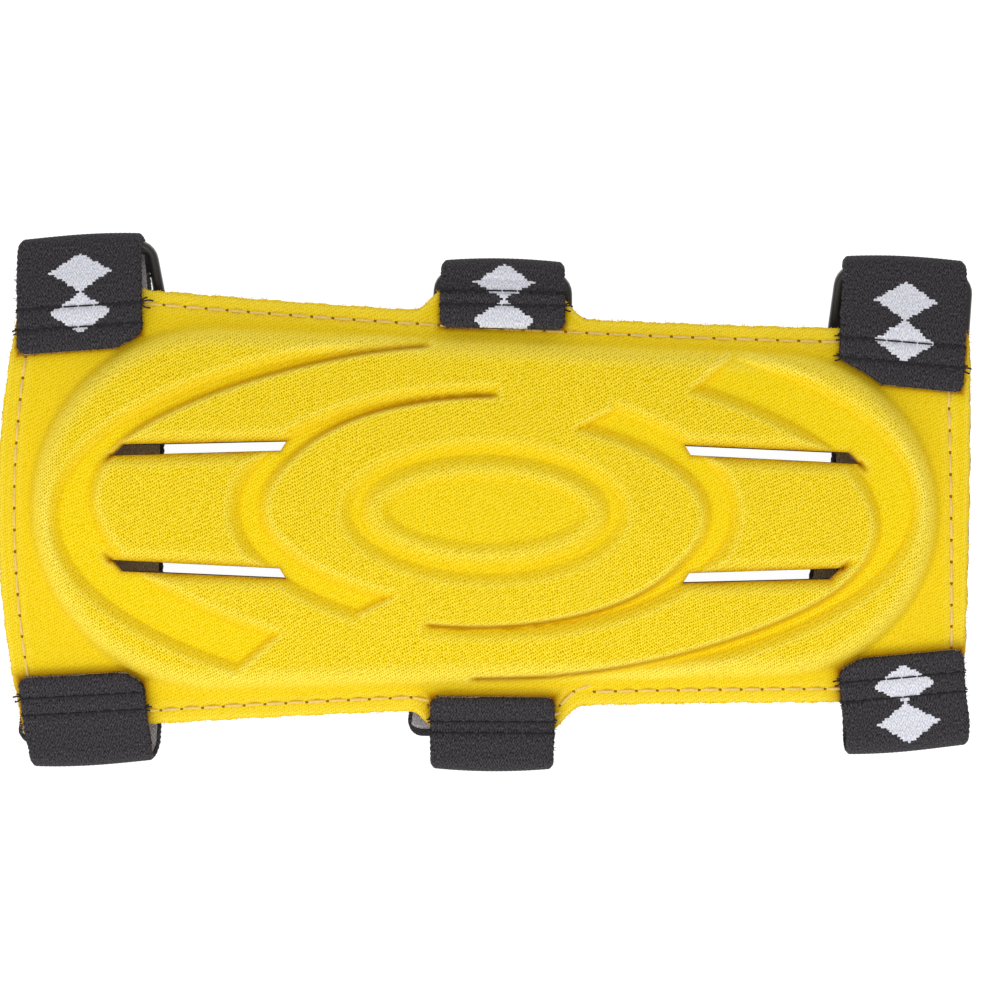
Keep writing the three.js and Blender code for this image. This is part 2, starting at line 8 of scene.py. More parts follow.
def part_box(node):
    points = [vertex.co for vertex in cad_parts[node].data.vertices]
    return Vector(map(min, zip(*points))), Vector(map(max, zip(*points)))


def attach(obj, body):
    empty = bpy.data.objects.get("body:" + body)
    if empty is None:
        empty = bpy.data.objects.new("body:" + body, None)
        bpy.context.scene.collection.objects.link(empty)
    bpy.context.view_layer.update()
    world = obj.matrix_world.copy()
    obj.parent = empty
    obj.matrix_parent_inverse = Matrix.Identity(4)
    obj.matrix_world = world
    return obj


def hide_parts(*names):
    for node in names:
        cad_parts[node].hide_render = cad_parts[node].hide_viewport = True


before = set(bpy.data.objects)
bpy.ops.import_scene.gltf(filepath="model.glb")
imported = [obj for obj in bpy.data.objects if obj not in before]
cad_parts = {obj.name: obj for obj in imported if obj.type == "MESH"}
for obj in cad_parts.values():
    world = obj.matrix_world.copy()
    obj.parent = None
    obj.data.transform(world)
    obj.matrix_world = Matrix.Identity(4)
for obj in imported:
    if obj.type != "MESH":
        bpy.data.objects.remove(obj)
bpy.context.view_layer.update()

# Moulded pad: closed-cell foam with a stretch knit laminated to its face. One hot pressing bows it across
# the arm, presses the rim down to a thin flange and sinks the spiral grooves and the medallion into the dome.
# The outline and the four vent slots are then cut out with a steel-rule die, so they show bare foam.

MM = 0.001
GAP = 0.3
ELBOW_X = -92.4
WRIST_X = 96.0
ELBOW_HALF = 45.5
WRIST_HALF = 37.2
ELBOW_BULGE = 4.3
CORNER = 2.0
TAB_X = 2.6
TAB_TIP = 10.5
TAB_BASE = 17.3
TAB_RISE = 5.2
ARCH_RADIUS = 150.0
CROWN_HEIGHT = 13.5
LEAN = math.tan(math.radians(4))
LINING_THICKNESS = 0.9
FOAM_BASE = LINING_THICKNESS + GAP
FLANGE_TOP = FOAM_BASE + 2.2
DOME_ELBOW_X = -53.8
DOME_ELBOW_RADIUS = 37.0
DOME_WRIST_X = 57.2
DOME_WRIST_RADIUS = 33.2
DOME_RISE = 4.5
DOME_WALL = 5.6
DOME_STEEPNESS = 3.0
DOME_FOOT = 0.2
SEAM_SIDE = 2.8
SEAM_ELBOW = 3.3
SEAM_WRIST = 3.55
SEAM_WRIST_SLANT = 0.03
EDGE_STITCH = 4.2
SEAM_SINK = 0.3
SEAM_PUCKER = 0.35
SEAM_REACH = 0.6
EDGE_DROP = 0.5
EDGE_REACH = 0.9
PAD_COLUMNS = 429
PAD_ROWS = 189
UNDERSIDE_COARSER = 3
SHARP_ANGLE = math.radians(62)

# Shares of the grid over which the outline's waver and the tab fade out, and size, pace and start of each
# ripple of the waver.
RIM_SHARE = 0.1
TAB_SHARE = 0.25
END_SHARE = 0.03
RIPPLES = ((0.09, 0.7, 0), (0.07, 2.1, 1), (0.05, 4.7, 2))

# Width and depth of a groove at angles on its ellipse, from its thin tail to its blunt end.
OUTER_GROOVE = {
    "centre_y": -2.0,
    "radii": (85.2, 36.0),
    "ends": (235, 239.5),
    "angle": (86, 100, 125, 152, 180, 205, 225, 243),
    "width": (0.5, 0.9, 2.6, 3.2, 9.0, 9.4, 9.2, 8.2),
    "depth": (1.2, 1.7, 2.0, 2.0, 2.0, 2.0, 2.0, 1.8),
}
INNER_GROOVE = {
    "centre_y": 0.0,
    "radii": (49.4, 23.8),
    "ends": (239, 246.5),
    "angle": (74, 88, 125, 150, 180, 210, 250),
    "width": (0.5, 0.8, 1.9, 4.4, 5.6, 5.3, 4.9),
    "depth": (1.2, 1.7, 2.0, 2.0, 2.0, 2.0, 1.8),
}
GROOVES = [(OUTER_GROOVE, 97.5, 1), (OUTER_GROOVE, 88, -1), (INNER_GROOVE, 87, 1), (INNER_GROOVE, 75.6, -1)]

# How far each pressed wall reaches outside and inside its line. A wide groove has a softer inner wall.
OUTER_WALL = (2.0, 0.7)
NARROW_WALL = (0.35, 0.25)
BROAD_WALL = (1.7, 0.7)
BROAD_GROOVE = 5.0
END_WALL = (1.5, 0.6)
TAIL_WALL = (0.5, 1.5)
CREASE_REACH = 0.45
MEDALLION_OUTER = (27.8, 13.4)
MEDALLION_INNER = (23.4, 10.0)
MEDALLION_DEPTH = 1.4
MEDALLION_WALL = (1.5, 1.1)
PLATE = (20.0, 7.4)
PLATE_DEPTH = 1.0
PLATE_WALL = (1.0, 1.2)
SLOT_OUTER_SIDE = ((39.3, 13.7), (71.9, 12.6))
SLOT_INNER_SIDE = ((74.1, 10.3), (40.6, 11.6))
SLOT_QUARTERS = [(1, 1, 0), (-1, 1, 0), (-1, -1, 0), (1, -1, 3.2)]
SLOT_PINCH = 2.4
PINCH_DEPTH = 1.3
PINCH_REACH = 0.6
SLOT_LIP = 1.6
LIP_REACH = 2.6
DIE_HEIGHT = 30

# How the pressing shows in the knit: the distance over which a bend is felt, twice the slope of a full wall,
# the depth that closes the stitches, and the share that each cause has. The pale on the dome's wall is partly
# painted light; the shade on the walls and in the hollows is painted, and so is the shadow along the slots'
# edges and in their pinches, with its reach.
BEND_REACH = 0.7
WALL_SLOPE = 3.0
CLOSING_DEPTH = 1.6
PALE_AND_LIT_ON_DOME_WALL = 1.6
CLOSED_IN_GROOVE = 0.85
CLOSED_ON_WALL = 0.6
PAINTED_SHADE_ON_WALL = 0.7
PAINTED_SHADE_IN_HOLLOW = 0.35
SLOT_SHADOW = 0.6
SLOT_SHADOW_REACH = 0.45
PINCH_SHADOW = 0.7

pad_low, pad_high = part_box("moulded_pad")
CENTRE_X = pad_high.x / MM - WRIST_X
CENTRE_Y = (pad_low.y + pad_high.y) / 2 / MM


def ease(share):
    """A share from 0 to 1 that starts and ends gently."""
    share = np.clip(share, 0, 1)
    return share * share * (3 - 2 * share)


def half_width(x):
    """Half the pad's width at x, without the tab that carries the middle strap."""
    return WRIST_HALF + (ELBOW_HALF - WRIST_HALF) * ((WRIST_X - x) / (WRIST_X - ELBOW_X)) ** 2


def tab_rise(x):
    """How far the tab stands out of the long edge at x."""
    return TAB_RISE * ease((TAB_BASE - np.abs(x - TAB_X)) / (TAB_BASE - TAB_TIP))


def edge_at(x):
    return half_width(x) + tab_rise(x)


def elbow_edge(y):
    return ELBOW_X - ELBOW_BULGE * (1 - (y / ELBOW_HALF) ** 2)


def edge_slope(x, edge):
    return (edge(x + 0.1) - edge(x - 0.1)) / 0.2


def side_inset(x, y, edge):
    """Distance from a long edge, whose half width at x is edge(x)."""
    return (edge(x) - np.abs(y)) / np.sqrt(1 + edge_slope(x, edge) ** 2)


def back_height(y):
    """Height of the lining's underside, which is bowed across the arm."""
    return CROWN_HEIGHT + LEAN * y - (ARCH_RADIUS - np.sqrt(ARCH_RADIUS**2 - y**2))


def dome_inset(x, y):
    """How far a point lies inside the dome's outline, which is two circles and the lines that touch both."""
    span = DOME_WRIST_X - DOME_ELBOW_X
    slant = (DOME_ELBOW_RADIUS - DOME_WRIST_RADIUS) / span
    level = math.sqrt(1 - slant**2)
    across = np.abs(y)
    along = x - DOME_ELBOW_X
    place = level * along - slant * across
    side = DOME_ELBOW_RADIUS - level * across - slant * along
    elbow = DOME_ELBOW_RADIUS - np.hypot(across, along)
    wrist = DOME_WRIST_RADIUS - np.hypot(across, along - span)
    return np.where(place < 0, elbow, np.where(place > level * span, wrist, side))


def sunk_share(inside, shoulder, foot):
    """A pressed wall: a round shoulder outside its line, a crease at its foot, and 1 on the floor."""
    share = np.clip((inside + shoulder) / (shoulder + foot), 0, 1)
    return 0.5 * (1 - np.sqrt(1 - share**2)) + 0.5 * ease(share)


def groove_at(x, y, shape, tail, turn):
    """How deep one groove is at a point, and how near that is to the crease of its inner wall, from 0 to 1.
    The outer wall is a ramp and the inner one is steep, most so where the groove is narrow. turn is -1 for
    the groove that is turned by half a turn."""
    x = turn * x
    y = turn * y - shape["centre_y"]
    long, short = shape["radii"]
    angle = np.arctan2(y / short, x / long)
    for _ in range(8):
        sine, cosine = np.sin(angle), np.cos(angle)
        slope = (short**2 - long**2) * sine * cosine + long * x * sine - short * y * cosine
        bend = (short**2 - long**2) * (cosine**2 - sine**2) + long * x * cosine + short * y * sine
        angle = angle - np.clip(slope / np.where(bend > 1, bend, 1e9), -0.2, 0.2)
    sine, cosine = np.sin(angle), np.cos(angle)
    pace = np.hypot(long * sine, short * cosine)
    outwards = np.stack([short * cosine, long * sine]) / pace
    off_x, off_y = x - long * cosine, y - short * sine
    inside = -(off_x * outwards[0] + off_y * outwards[1])
    sideways = np.abs(off_x * outwards[1] - off_y * outwards[0])
    degrees = np.degrees(angle) % 360
    nearby = [degrees + shift for shift in (-9, -6, -3, 0, 3, 6, 9)]
    width = np.mean([np.interp(spot, shape["angle"], shape["width"]) for spot in nearby], axis=0)
    depth = np.interp(degrees, shape["angle"], shape["depth"])
    near, far = shape["ends"]
    end = near + (far - near) * np.clip(inside / width, 0, 1)
    to_end = np.radians(end - degrees) * pace
    to_tail = np.radians(degrees - tail) * pace
    broad = np.clip(width / BROAD_GROOVE, 0, 1)
    soft_wall = [narrow + (wide - narrow) * broad for narrow, wide in zip(NARROW_WALL, BROAD_WALL)]
    outer_wall = sunk_share(inside, *OUTER_WALL)
    inner_wall = sunk_share(width - inside, *soft_wall)
    end_wall = sunk_share(to_end, *END_WALL)
    tail_wall = sunk_share(to_tail, *TAIL_WALL)
    share = np.minimum.reduce([outer_wall, inner_wall, end_wall, tail_wall])
    at_foot = np.exp(-(((width - inside) / CREASE_REACH) ** 2))
    crease = (1 - broad) * at_foot * np.minimum(end_wall, tail_wall)
    is_near = sideways < 0.5
    return np.where(is_near, depth * share, 0), np.where(is_near, crease, 0)


def oval_inset(x, y, radii):
    """Distance inside an oval about the pad's centre, close to its line."""
    share = np.hypot(x / radii[0], y / radii[1]) + 1e-6
    steepness = np.hypot(x / radii[0] ** 2, y / radii[1] ** 2) / share
    return (1 - share) / (steepness + 1e-6)


def slot_corners(inset):
    """The four vent slots, counter-clockwise, with their long sides moved in by inset."""
    slots = []
    for sign_x, sign_y, shorter in SLOT_QUARTERS:
        outer = [(x, y - inset) for x, y in SLOT_OUTER_SIDE]
        inner = [(x, y + inset) for x, y in SLOT_INNER_SIDE]
        outer[1] = (outer[1][0] - shorter, outer[1][1])
        inner[0] = (inner[0][0] - shorter, inner[0][1])
        corners = [(sign_x * x, sign_y * y) for x, y in outer + inner]
        slots.append(corners[::-1] if sign_x * sign_y > 0 else corners)
    return slots


def slot_gap(x, y):
    """Distance from the nearest slot, negative inside it."""
    gaps = []
    for corners in slot_corners(0):
        sides = []
        for (ax, ay), (bx, by) in zip(corners, corners[1:] + corners[:1]):
            length = math.hypot(bx - ax, by - ay)
            sides.append(((x - ax) * (by - ay) - (y - ay) * (bx - ax)) / length)
        gaps.append(np.maximum.reduce(sides))
    return np.minimum.reduce(gaps)


def pinch_depth(x, y):
    """The crease that runs on a little way past the sharp corner of each slot."""
    (blunt_x, blunt_y), (sharp_x, sharp_y) = SLOT_OUTER_SIDE[1], SLOT_INNER_SIDE[0]
    end = math.hypot(sharp_x - blunt_x, sharp_y - blunt_y)
    head_x, head_y = (sharp_x - blunt_x) / end, (sharp_y - blunt_y) / end
    creases = []
    for sign_x, sign_y, shorter in SLOT_QUARTERS:
        off_x = sign_x * x - sharp_x + shorter
        off_y = sign_y * y - sharp_y
        along = np.clip(off_x * head_x + off_y * head_y, 0, SLOT_PINCH)
        aside = np.hypot(off_x - along * head_x, off_y - along * head_y)
        creases.append((1 - along / SLOT_PINCH) * np.exp(-((aside / PINCH_REACH) ** 2)))
    return PINCH_DEPTH * np.maximum.reduce(creases)


def sunk_depth(x, y):
    """How far the grooves and the medallion are pressed into the dome."""
    grooves = [groove_at(x, y, *groove)[0] for groove in GROOVES]
    ring = np.minimum(oval_inset(x, y, MEDALLION_OUTER), -oval_inset(x, y, MEDALLION_INNER))
    medallion = MEDALLION_DEPTH * sunk_share(ring, *MEDALLION_WALL)
    plate = PLATE_DEPTH * sunk_share(oval_inset(x, y, PLATE), *PLATE_WALL)
    return np.maximum.reduce([*grooves, medallion, plate])


def dome_share(x, y):
    """0 on the flange and 1 on the dome, with a soft foot where the knit bridges the angle between them."""
    inset = np.clip(dome_inset(x, y) / DOME_WALL, 0, 1)
    eased = inset**2 * (1 + DOME_FOOT) / (inset + DOME_FOOT)
    return 1 - (1 - eased) ** DOME_STEEPNESS


def face_height(x, y):
    """The face's height above the lining's underside."""
    slot_lip = SLOT_LIP * (1 - np.clip(slot_gap(x, y) / LIP_REACH, 0, 1)) ** 2
    pressed = (sunk_depth(x, y) ** 4 + slot_lip**4) ** 0.25 + pinch_depth(x, y)
    to_side = side_inset(x, y, edge_at)
    to_elbow, to_wrist = x - elbow_edge(y), WRIST_X - x
    to_edge = np.minimum.reduce([to_side, to_elbow, to_wrist])
    cut_edge = EDGE_DROP * (1 - np.clip(to_edge / EDGE_REACH, 0, 1)) ** 2
    seam_side = np.where(y > 0, side_inset(x, y, half_width), to_side) - SEAM_SIDE
    seam_end = np.minimum(to_elbow - SEAM_ELBOW, to_wrist - SEAM_WRIST - SEAM_WRIST_SLANT * y)
    along = np.where(seam_side < seam_end, x, y)
    pucker = 1 + SEAM_PUCKER * np.cos(2 * math.pi * along / EDGE_STITCH)
    seam = SEAM_SINK * pucker * np.exp(-((np.minimum(seam_side, seam_end) / SEAM_REACH) ** 2))
    return FLANGE_TOP + DOME_RISE * dome_share(x, y) - pressed - cut_edge - seam


def on_knit(x, y):
    """Height of the knit face above the table."""
    return back_height(y) + face_height(x, y)


def knit_state(x, y):
    """What the pressing did to the knit, each from 0 to 1: raised on the dome, pulled open on the ridges,
    drawn pale over an edge or down the dome's wall, partly as painted light, painted shade on a wall or in a
    hollow, and painted shadow in a groove's crease, along a slot's edge or in a pinch."""
    level = face_height(x, y)
    right, left = face_height(x + BEND_REACH, y), face_height(x - BEND_REACH, y)
    above, below = face_height(x, y + BEND_REACH), face_height(x, y - BEND_REACH)
    bend = (4 * level - right - left - above - below) / BEND_REACH**2
    steep = np.clip(np.hypot(right - left, above - below) / BEND_REACH / WALL_SLOPE, 0, 1)
    raised = ease(dome_share(x, y))
    in_dome = np.clip(dome_inset(x, y) / DOME_WALL, 0, 1)
    # Drawn pale: stretched knit over convex edges and down the dome's wall, with painted light there too.
    drawn = np.clip(bend, 0, 1) + PALE_AND_LIT_ON_DOME_WALL * in_dome * (1 - in_dome)
    closed = CLOSED_IN_GROOVE * np.clip(sunk_depth(x, y) / CLOSING_DEPTH, 0, 1)
    opened = raised * (1 - closed) * (1 - CLOSED_ON_WALL * steep)
    # Painted shade: the knit on the dome's walls and in its hollows is drawn more orange.
    sunk = in_dome * np.clip(PAINTED_SHADE_ON_WALL * steep - PAINTED_SHADE_IN_HOLLOW * bend, 0, 1)
    # Painted shadow: brown in the inner crease of a narrow groove, along the slots' edges and in their
    # pinches.
    creases = [groove_at(x, y, *groove)[1] for groove in GROOVES]
    painted_slot_shadow = SLOT_SHADOW * np.exp(-np.clip(slot_gap(x, y), 0, None) / SLOT_SHADOW_REACH)
    painted_crease_shadow = np.maximum.reduce([*creases, painted_slot_shadow, PINCH_SHADOW * pinch_depth(x, y)])
    return {"raised": raised, "opened": opened, "drawn": drawn, "sunk": sunk, "painted_crease_shadow": painted_crease_shadow}


def cut_waver(along):
    """How far the cut edge strays from its line."""
    return sum(size * np.sin(pace * along + start) for size, pace, start in RIPPLES)


def plan_grid(columns, rows, lip):
    """Points over the pad's plan in lines along and across it, whose outer lines are its outline."""
    share = np.linspace(0, 1, columns + 1)[:, None]
    side = np.linspace(-1, 1, rows + 1)[None, :]
    station = ELBOW_X + (WRIST_X + lip - ELBOW_X) * share
    end_gap = np.minimum(station - ELBOW_X, WRIST_X + lip - station)
    corner = CORNER - np.sqrt(CORNER**2 - np.clip(CORNER - end_gap, 0, CORNER) ** 2)
    rim = np.sign(side) * ease((np.abs(side) - 1 + RIM_SHARE) / RIM_SHARE)
    tab = tab_rise(station) * np.sign(side) * ease((np.abs(side) - 1 + TAB_SHARE) / TAB_SHARE)
    y = side * (half_width(station) - corner) + tab + rim * cut_waver(station)
    end = ease((share - 1 + END_SHARE) / END_SHARE) - ease((END_SHARE - share) / END_SHARE)
    x = station - ELBOW_BULGE * (1 - side**2) * (1 - share) ** 3 + end * cut_waver(y)
    return x, y


def in_frame(points):
    """Points from the pad's millimetres to the row's metres."""
    return (np.asarray(points) + (CENTRE_X, CENTRE_Y, 0)) * MM


def slab(columns, rows, coarser, lip, face, base):
    """A closed mesh between two grids over the pad's plan, of which the lower may have fewer lines."""
    x, y = plan_grid(columns, rows, lip)
    low_x, low_y = x[::coarser, ::coarser], y[::coarser, ::coarser]
    top = np.stack([x, y, face(x, y)], -1).reshape(-1, 3)
    bottom = np.stack([low_x, low_y, base(low_y)], -1).reshape(-1, 3)
    faces, rims = [], []
    for shape, first, upwards in ((x.shape, 0, True), (low_x.shape, len(top), False)):
        index = first + np.arange(shape[0] * shape[1]).reshape(shape)
        ring = np.stack([index[:-1, :-1], index[1:, :-1], index[1:, 1:], index[:-1, 1:]], -1).reshape(-1, 4)
        faces += (ring if upwards else ring[:, ::-1]).tolist()
        rim = [index[:-1, 0], index[-1, :-1], index[:0:-1, -1], index[0, :0:-1]]
        rims.append(np.concatenate(rim).tolist())
    upper, lower = rims
    for segment, (a, b) in enumerate(zip(lower, lower[1:] + lower[:1])):
        first = segment * coarser
        for step in range(coarser):
            faces.append([a, upper[(first + step + 1) % len(upper)], upper[first + step]])
        faces.append([a, b, upper[(first + coarser) % len(upper)]])
    mesh = bpy.data.meshes.new("slab")
    mesh.from_pydata(in_frame(np.concatenate([top, bottom])), [], faces)
    is_face = np.zeros(len(faces), bool)
    is_face[: columns * rows] = True
    return mesh, is_face


def new_piece(name, mesh):
    piece = bpy.data.objects.new(name, mesh)
    bpy.context.collection.objects.link(piece)
    return piece


def bake(piece):
    """Puts what a piece's modifiers make into its own mesh, and removes them."""
    evaluated = piece.evaluated_get(bpy.context.evaluated_depsgraph_get())
    mesh = bpy.data.meshes.new_from_object(evaluated)
    piece.modifiers.clear()
    piece.data = mesh
    mesh.shade_smooth()
    return piece


def cut_slots(piece, inset, wall_slot):
    """Cuts the vent slots through a piece. wall_slot is the material slot of the cut walls."""
    points, faces = [], []
    for corners in slot_corners(inset):
        first = len(points)
        for height in (0, DIE_HEIGHT):
            points += [(x, y, height) for x, y in corners]
        a, b, c, d = range(first, first + 4)
        faces += [[d, c, b, a], [a + 4, b + 4, c + 4, d + 4]]
        faces += [[a, b, b + 4, a + 4], [b, c, c + 4, b + 4], [c, d, d + 4, c + 4], [d, a, a + 4, d + 4]]
    mesh = bpy.data.meshes.new("slot_die")
    mesh.from_pydata(in_frame(points), [], faces)
    for material in piece.data.materials:
        mesh.materials.append(material)
    for polygon in mesh.polygons:
        polygon.material_index = wall_slot
    die = new_piece("slot_die", mesh)
    cut = piece.modifiers.new("Slots", "BOOLEAN")
    cut.operation = "DIFFERENCE"
    cut.solver = "MANIFOLD"
    cut.object = die
    bake(piece)
    bpy.data.objects.remove(die)


def linear(sRGB):
    """A hex colour as linear red, green, blue and alpha."""
    channels = [int(sRGB[i : i + 2], 16) / 255 for i in (0, 2, 4)]
    return [c / 12.92 if c <= 0.04045 else ((c + 0.055) / 1.055) ** 2.4 for c in channels] + [1]


def add_node(tree, kind, inputs=None, **settings):
    """Adds a node. An input is a value, a hex colour, a socket, or a node for its first output in use."""
    made = tree.nodes.new(kind)
    for name, value in settings.items():
        setattr(made, name, value)
    for name, value in (inputs or {}).items():
        if isinstance(value, bpy.types.Node):
            value = next(socket for socket in value.outputs if socket.enabled)
        if isinstance(value, bpy.types.NodeSocket):
            tree.links.new(value, made.inputs[name])
        else:
            made.inputs[name].default_value = linear(value) if isinstance(value, str) else value
    return made


def new_material(name, constants):
    """A material with one Principled shader, whose sockets that are the same all over are set here."""
    material = bpy.data.materials.new(name)
    material.use_nodes = True
    shader = material.node_tree.nodes["Principled BSDF"]
    for socket, value in constants.items():
        shader.inputs[socket].default_value = value
    return material, material.node_tree, shader


def join(tree, shader, colour, bump):
    """Links a material's colour and bump to its shader."""
    tree.links.new(next(socket for socket in colour.outputs if socket.enabled), shader.inputs["Base Color"])
    tree.links.new(bump.outputs["Normal"], shader.inputs["Normal"])


# Polyester stretch knit, dyed yellow: matt, in slanting rows of stitches. The pressing pulls it open on the
# ridges, so that each stitch is a dark dot, closes it in the grooves and draws it pale over the edges and
# down the dome's wall, where painted light adds to it; the pale specks between stitches are painted
# highlights.
# Painted shade makes the walls and hollows more orange, and painted shadow is brown in the creases, along the
# slots' edges and beside the hems. The stitches are drawn a little coarser than real ones, so that they show.
KNIT_SLANT = 26
STITCH_ALONG = 0.46
STITCH_ACROSS = 0.62

# Sizes of the drifts that pull the rows askew, and how far they do.
KNIT_PULLS = ((16.0, 2.4), (0.9, 0.6))
LOOSE_YARN = 0.45

knit, tree, shader = new_material("polyester_stretch_knit", {"Roughness": 0.95, "Specular IOR Level": 0.02})
place = add_node(tree, "ShaderNodeTexCoord").outputs["Object"]
pulled = place
for size, pull in KNIT_PULLS:
    drift = add_node(tree, "ShaderNodeTexNoise", {"Vector": place, "Scale": 1 / (size * MM), "Detail": 1})
    shift = {0: drift.outputs["Color"], 1: (pull * MM, pull * MM, 0), 2: pulled}
    pulled = add_node(tree, "ShaderNodeVectorMath", shift, operation="MULTIPLY_ADD")
rows = {"Rotation": (0, 0, math.radians(KNIT_SLANT)), "Scale": (STITCH_ALONG * MM, STITCH_ACROSS * MM, 1)}
stitch = add_node(tree, "ShaderNodeMapping", {"Vector": pulled, **rows}, vector_type="TEXTURE")
stitch = add_node(tree, "ShaderNodeSeparateXYZ", {"Vector": stitch}).outputs
waves = []
for axis, turns in (("X", 2), ("Y", 1), ("Y", 2)):
    phase = add_node(tree, "ShaderNodeMath", {0: stitch[axis], 1: turns * math.pi}, operation="MULTIPLY")
    waves.append(add_node(tree, "ShaderNodeMath", {0: phase}, operation="COSINE"))
lattice = add_node(tree, "ShaderNodeMath", {0: waves[0], 1: waves[1]}, operation="MULTIPLY")
lattice = add_node(tree, "ShaderNodeMath", {0: waves[2], 1: 0.5, 2: lattice}, operation="MULTIPLY_ADD")
loose = add_node(tree, "ShaderNodeTexNoise", {"Vector": place, "Scale": 1 / (LOOSE_YARN * MM), "Detail": 2})
stitches = add_node(tree, "ShaderNodeMath", {0: loose, 1: 2.6, 2: lattice}, operation="MULTIPLY_ADD")
state = {}
for name in ("raised", "opened", "drawn", "sunk", "painted_crease_shadow", "painted_hem_shadow"):
    state[name] = add_node(tree, "ShaderNodeAttribute", attribute_name=name).outputs["Fac"]
openness = add_node(tree, "ShaderNodeMapRange", {"Value": state["opened"], "To Min": 0.4, "To Max": 0.85})
dark = add_node(tree, "ShaderNodeMapRange", {"Value": stitches, "From Min": 1.45, "From Max": 2.7})
hole = add_node(tree, "ShaderNodeMath", {0: dark, 1: openness}, operation="MULTIPLY")
# Pale specks between the open stitches: painted highlights on the yarn.
light = add_node(
    tree, "ShaderNodeMapRange", {"Value": stitches, "From Min": 1.4, "From Max": 0.4, "To Max": 0.6}
)
light = add_node(tree, "ShaderNodeMath", {0: light, 1: openness}, operation="MULTIPLY")
pale_and_painted_highlight = add_node(tree, "ShaderNodeMath", {0: state["drawn"], 1: 0.4, 2: light}, operation="MULTIPLY_ADD")
# Painted shade, more orange, on the walls and in the hollows.
sunken = add_node(tree, "ShaderNodeMath", {0: state["sunk"], 1: 0.28}, operation="MULTIPLY")
# Painted shadow, brown, in the creases, along the slots' edges and beside the hems.
painted_shadow = add_node(tree, "ShaderNodeMath", {0: state["painted_crease_shadow"], 1: state["painted_hem_shadow"]}, operation="MAXIMUM")

# The yarn on the flange, then on the dome, pale with painted highlights, in painted shade on a wall, in
# painted shadow in a crease or beside a hem, and the hole of a stitch.
colour = "F2D010"
for share, shade in (
    (state["raised"], "F6D602"),
    (pale_and_painted_highlight, "FFEB62"),
    (sunken, "ECB000"),
    (painted_shadow, "9A5200"),
    (hole, "B08000"),
):
    colour = add_node(tree, "ShaderNodeMix", {"Factor": share, "A": colour, "B": shade}, data_type="RGBA")
depth = add_node(tree, "ShaderNodeMath", {0: hole, 1: -1.6, 2: light}, operation="MULTIPLY_ADD")
bump = add_node(tree, "ShaderNodeBump", {"Height": depth, "Strength": 0.5, "Distance": 0.15 * MM})
join(tree, shader, colour, bump)

# Closed-cell foam, die-cut: yellow like the knit, dull, with fine cells.
FOAM_CELL = 0.35

foam, tree, shader = new_material("die_cut_foam", {"Roughness": 0.95})
place = add_node(tree, "ShaderNodeTexCoord").outputs["Object"]
cells = add_node(tree, "ShaderNodeTexVoronoi", {"Vector": place, "Scale": 1 / (FOAM_CELL * MM)})
bump = add_node(tree, "ShaderNodeBump", {"Height": cells, "Distance": 0.2 * MM})
colour = add_node(tree, "ShaderNodeMix", {"Factor": cells, "A": "D8A414", "B": "F4CC3C"}, data_type="RGBA")
join(tree, shader, colour, bump)

mesh, is_knit = slab(
    PAD_COLUMNS,
    PAD_ROWS,
    UNDERSIDE_COARSER,
    0,
    on_knit,
    lambda y: back_height(y) + FOAM_BASE,
)
mesh.materials.append(knit)
mesh.materials.append(foam)
mesh.polygons.foreach_set("material_index", np.where(is_knit, 0, 1).astype(np.int32))
pad = new_piece("knit_faced_pad", mesh)
cut_slots(pad, 0, 1)
mesh = pad.data
mesh.set_sharp_from_angle(angle=SHARP_ANGLE)
spots = np.empty(len(mesh.vertices) * 3)
mesh.vertices.foreach_get("co", spots)
spots = spots.reshape(-1, 3) / MM - (CENTRE_X, CENTRE_Y, 0)
for name, values in knit_state(spots[:, 0], spots[:, 1]).items():
    mesh.attributes.new(name, "FLOAT", "POINT").data.foreach_set("value", values)
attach(pad, "root")
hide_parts("moulded_pad")

# Lining: a thin brushed cloth glued to the back of the foam, black, so that it is soft on the arm. It is cut
# with the pad, and stands a hair past the wrist edge and into the slots.

LINING_LIP = 0.3
LINING_SLOT_INSET = 0.15
LINING_COLUMNS = 129
LINING_ROWS = 63

# Brushed polyester: a black nap with soft lighter streaks where it was brushed.
brushed, tree, shader = new_material("brushed_polyester", {"Roughness": 0.95, "Sheen Weight": 0.2})
place = add_node(tree, "ShaderNodeTexCoord").outputs["Object"]
stroke = (2.5 * MM, 0.5 * MM, 1 * MM)
strokes = add_node(tree, "ShaderNodeMapping", {"Vector": place, "Scale": stroke}, vector_type="TEXTURE")
nap = add_node(tree, "ShaderNodeTexNoise", {"Vector": strokes, "Scale": 1, "Detail": 4})
bump = add_node(tree, "ShaderNodeBump", {"Height": nap, "Strength": 0.4, "Distance": 0.3 * MM})
colour = add_node(tree, "ShaderNodeMix", {"Factor": nap, "A": "191716", "B": "3B3734"}, data_type="RGBA")
join(tree, shader, colour, bump)

mesh, _ = slab(
    LINING_COLUMNS,
    LINING_ROWS,
    1,
    LINING_LIP,
    lambda x, y: back_height(y) + LINING_THICKNESS,
    back_height,
)
mesh.materials.append(brushed)
lining = new_piece("brushed_lining", mesh)
cut_slots(lining, LINING_SLOT_INSET, 0)
lining.data.set_sharp_from_angle(angle=SHARP_ANGLE)
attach(lining, "root")
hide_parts("back_lining")

# Edge seam: one row of lockstitch round the pad, a few millimetres inside the cut edge, in a thread that is
# a shade duller than the knit on the face and black on the back. It sinks into the foam at each needle hole,
# runs out into the lower tab and goes straight on below the upper one.

EDGE_THREAD = 0.58
BACK_SEAM_DROP = 0.1
SIDE_STEPS = 300
END_STEPS = 60
FRAY_INSET = 0.15


def new_tree(name, sockets):
    """A tree of geometry nodes with named inputs, and the outputs of its input node."""
    tree = bpy.data.node_groups.new(name, "GeometryNodeTree")
    for socket, kind in sockets.items():
        tree.interface.new_socket(socket, in_out="INPUT", socket_type="NodeSocket" + kind)
    tree.interface.new_socket("Made", in_out="OUTPUT", socket_type="NodeSocketGeometry")
    return tree, add_node(tree, "NodeGroupInput").outputs


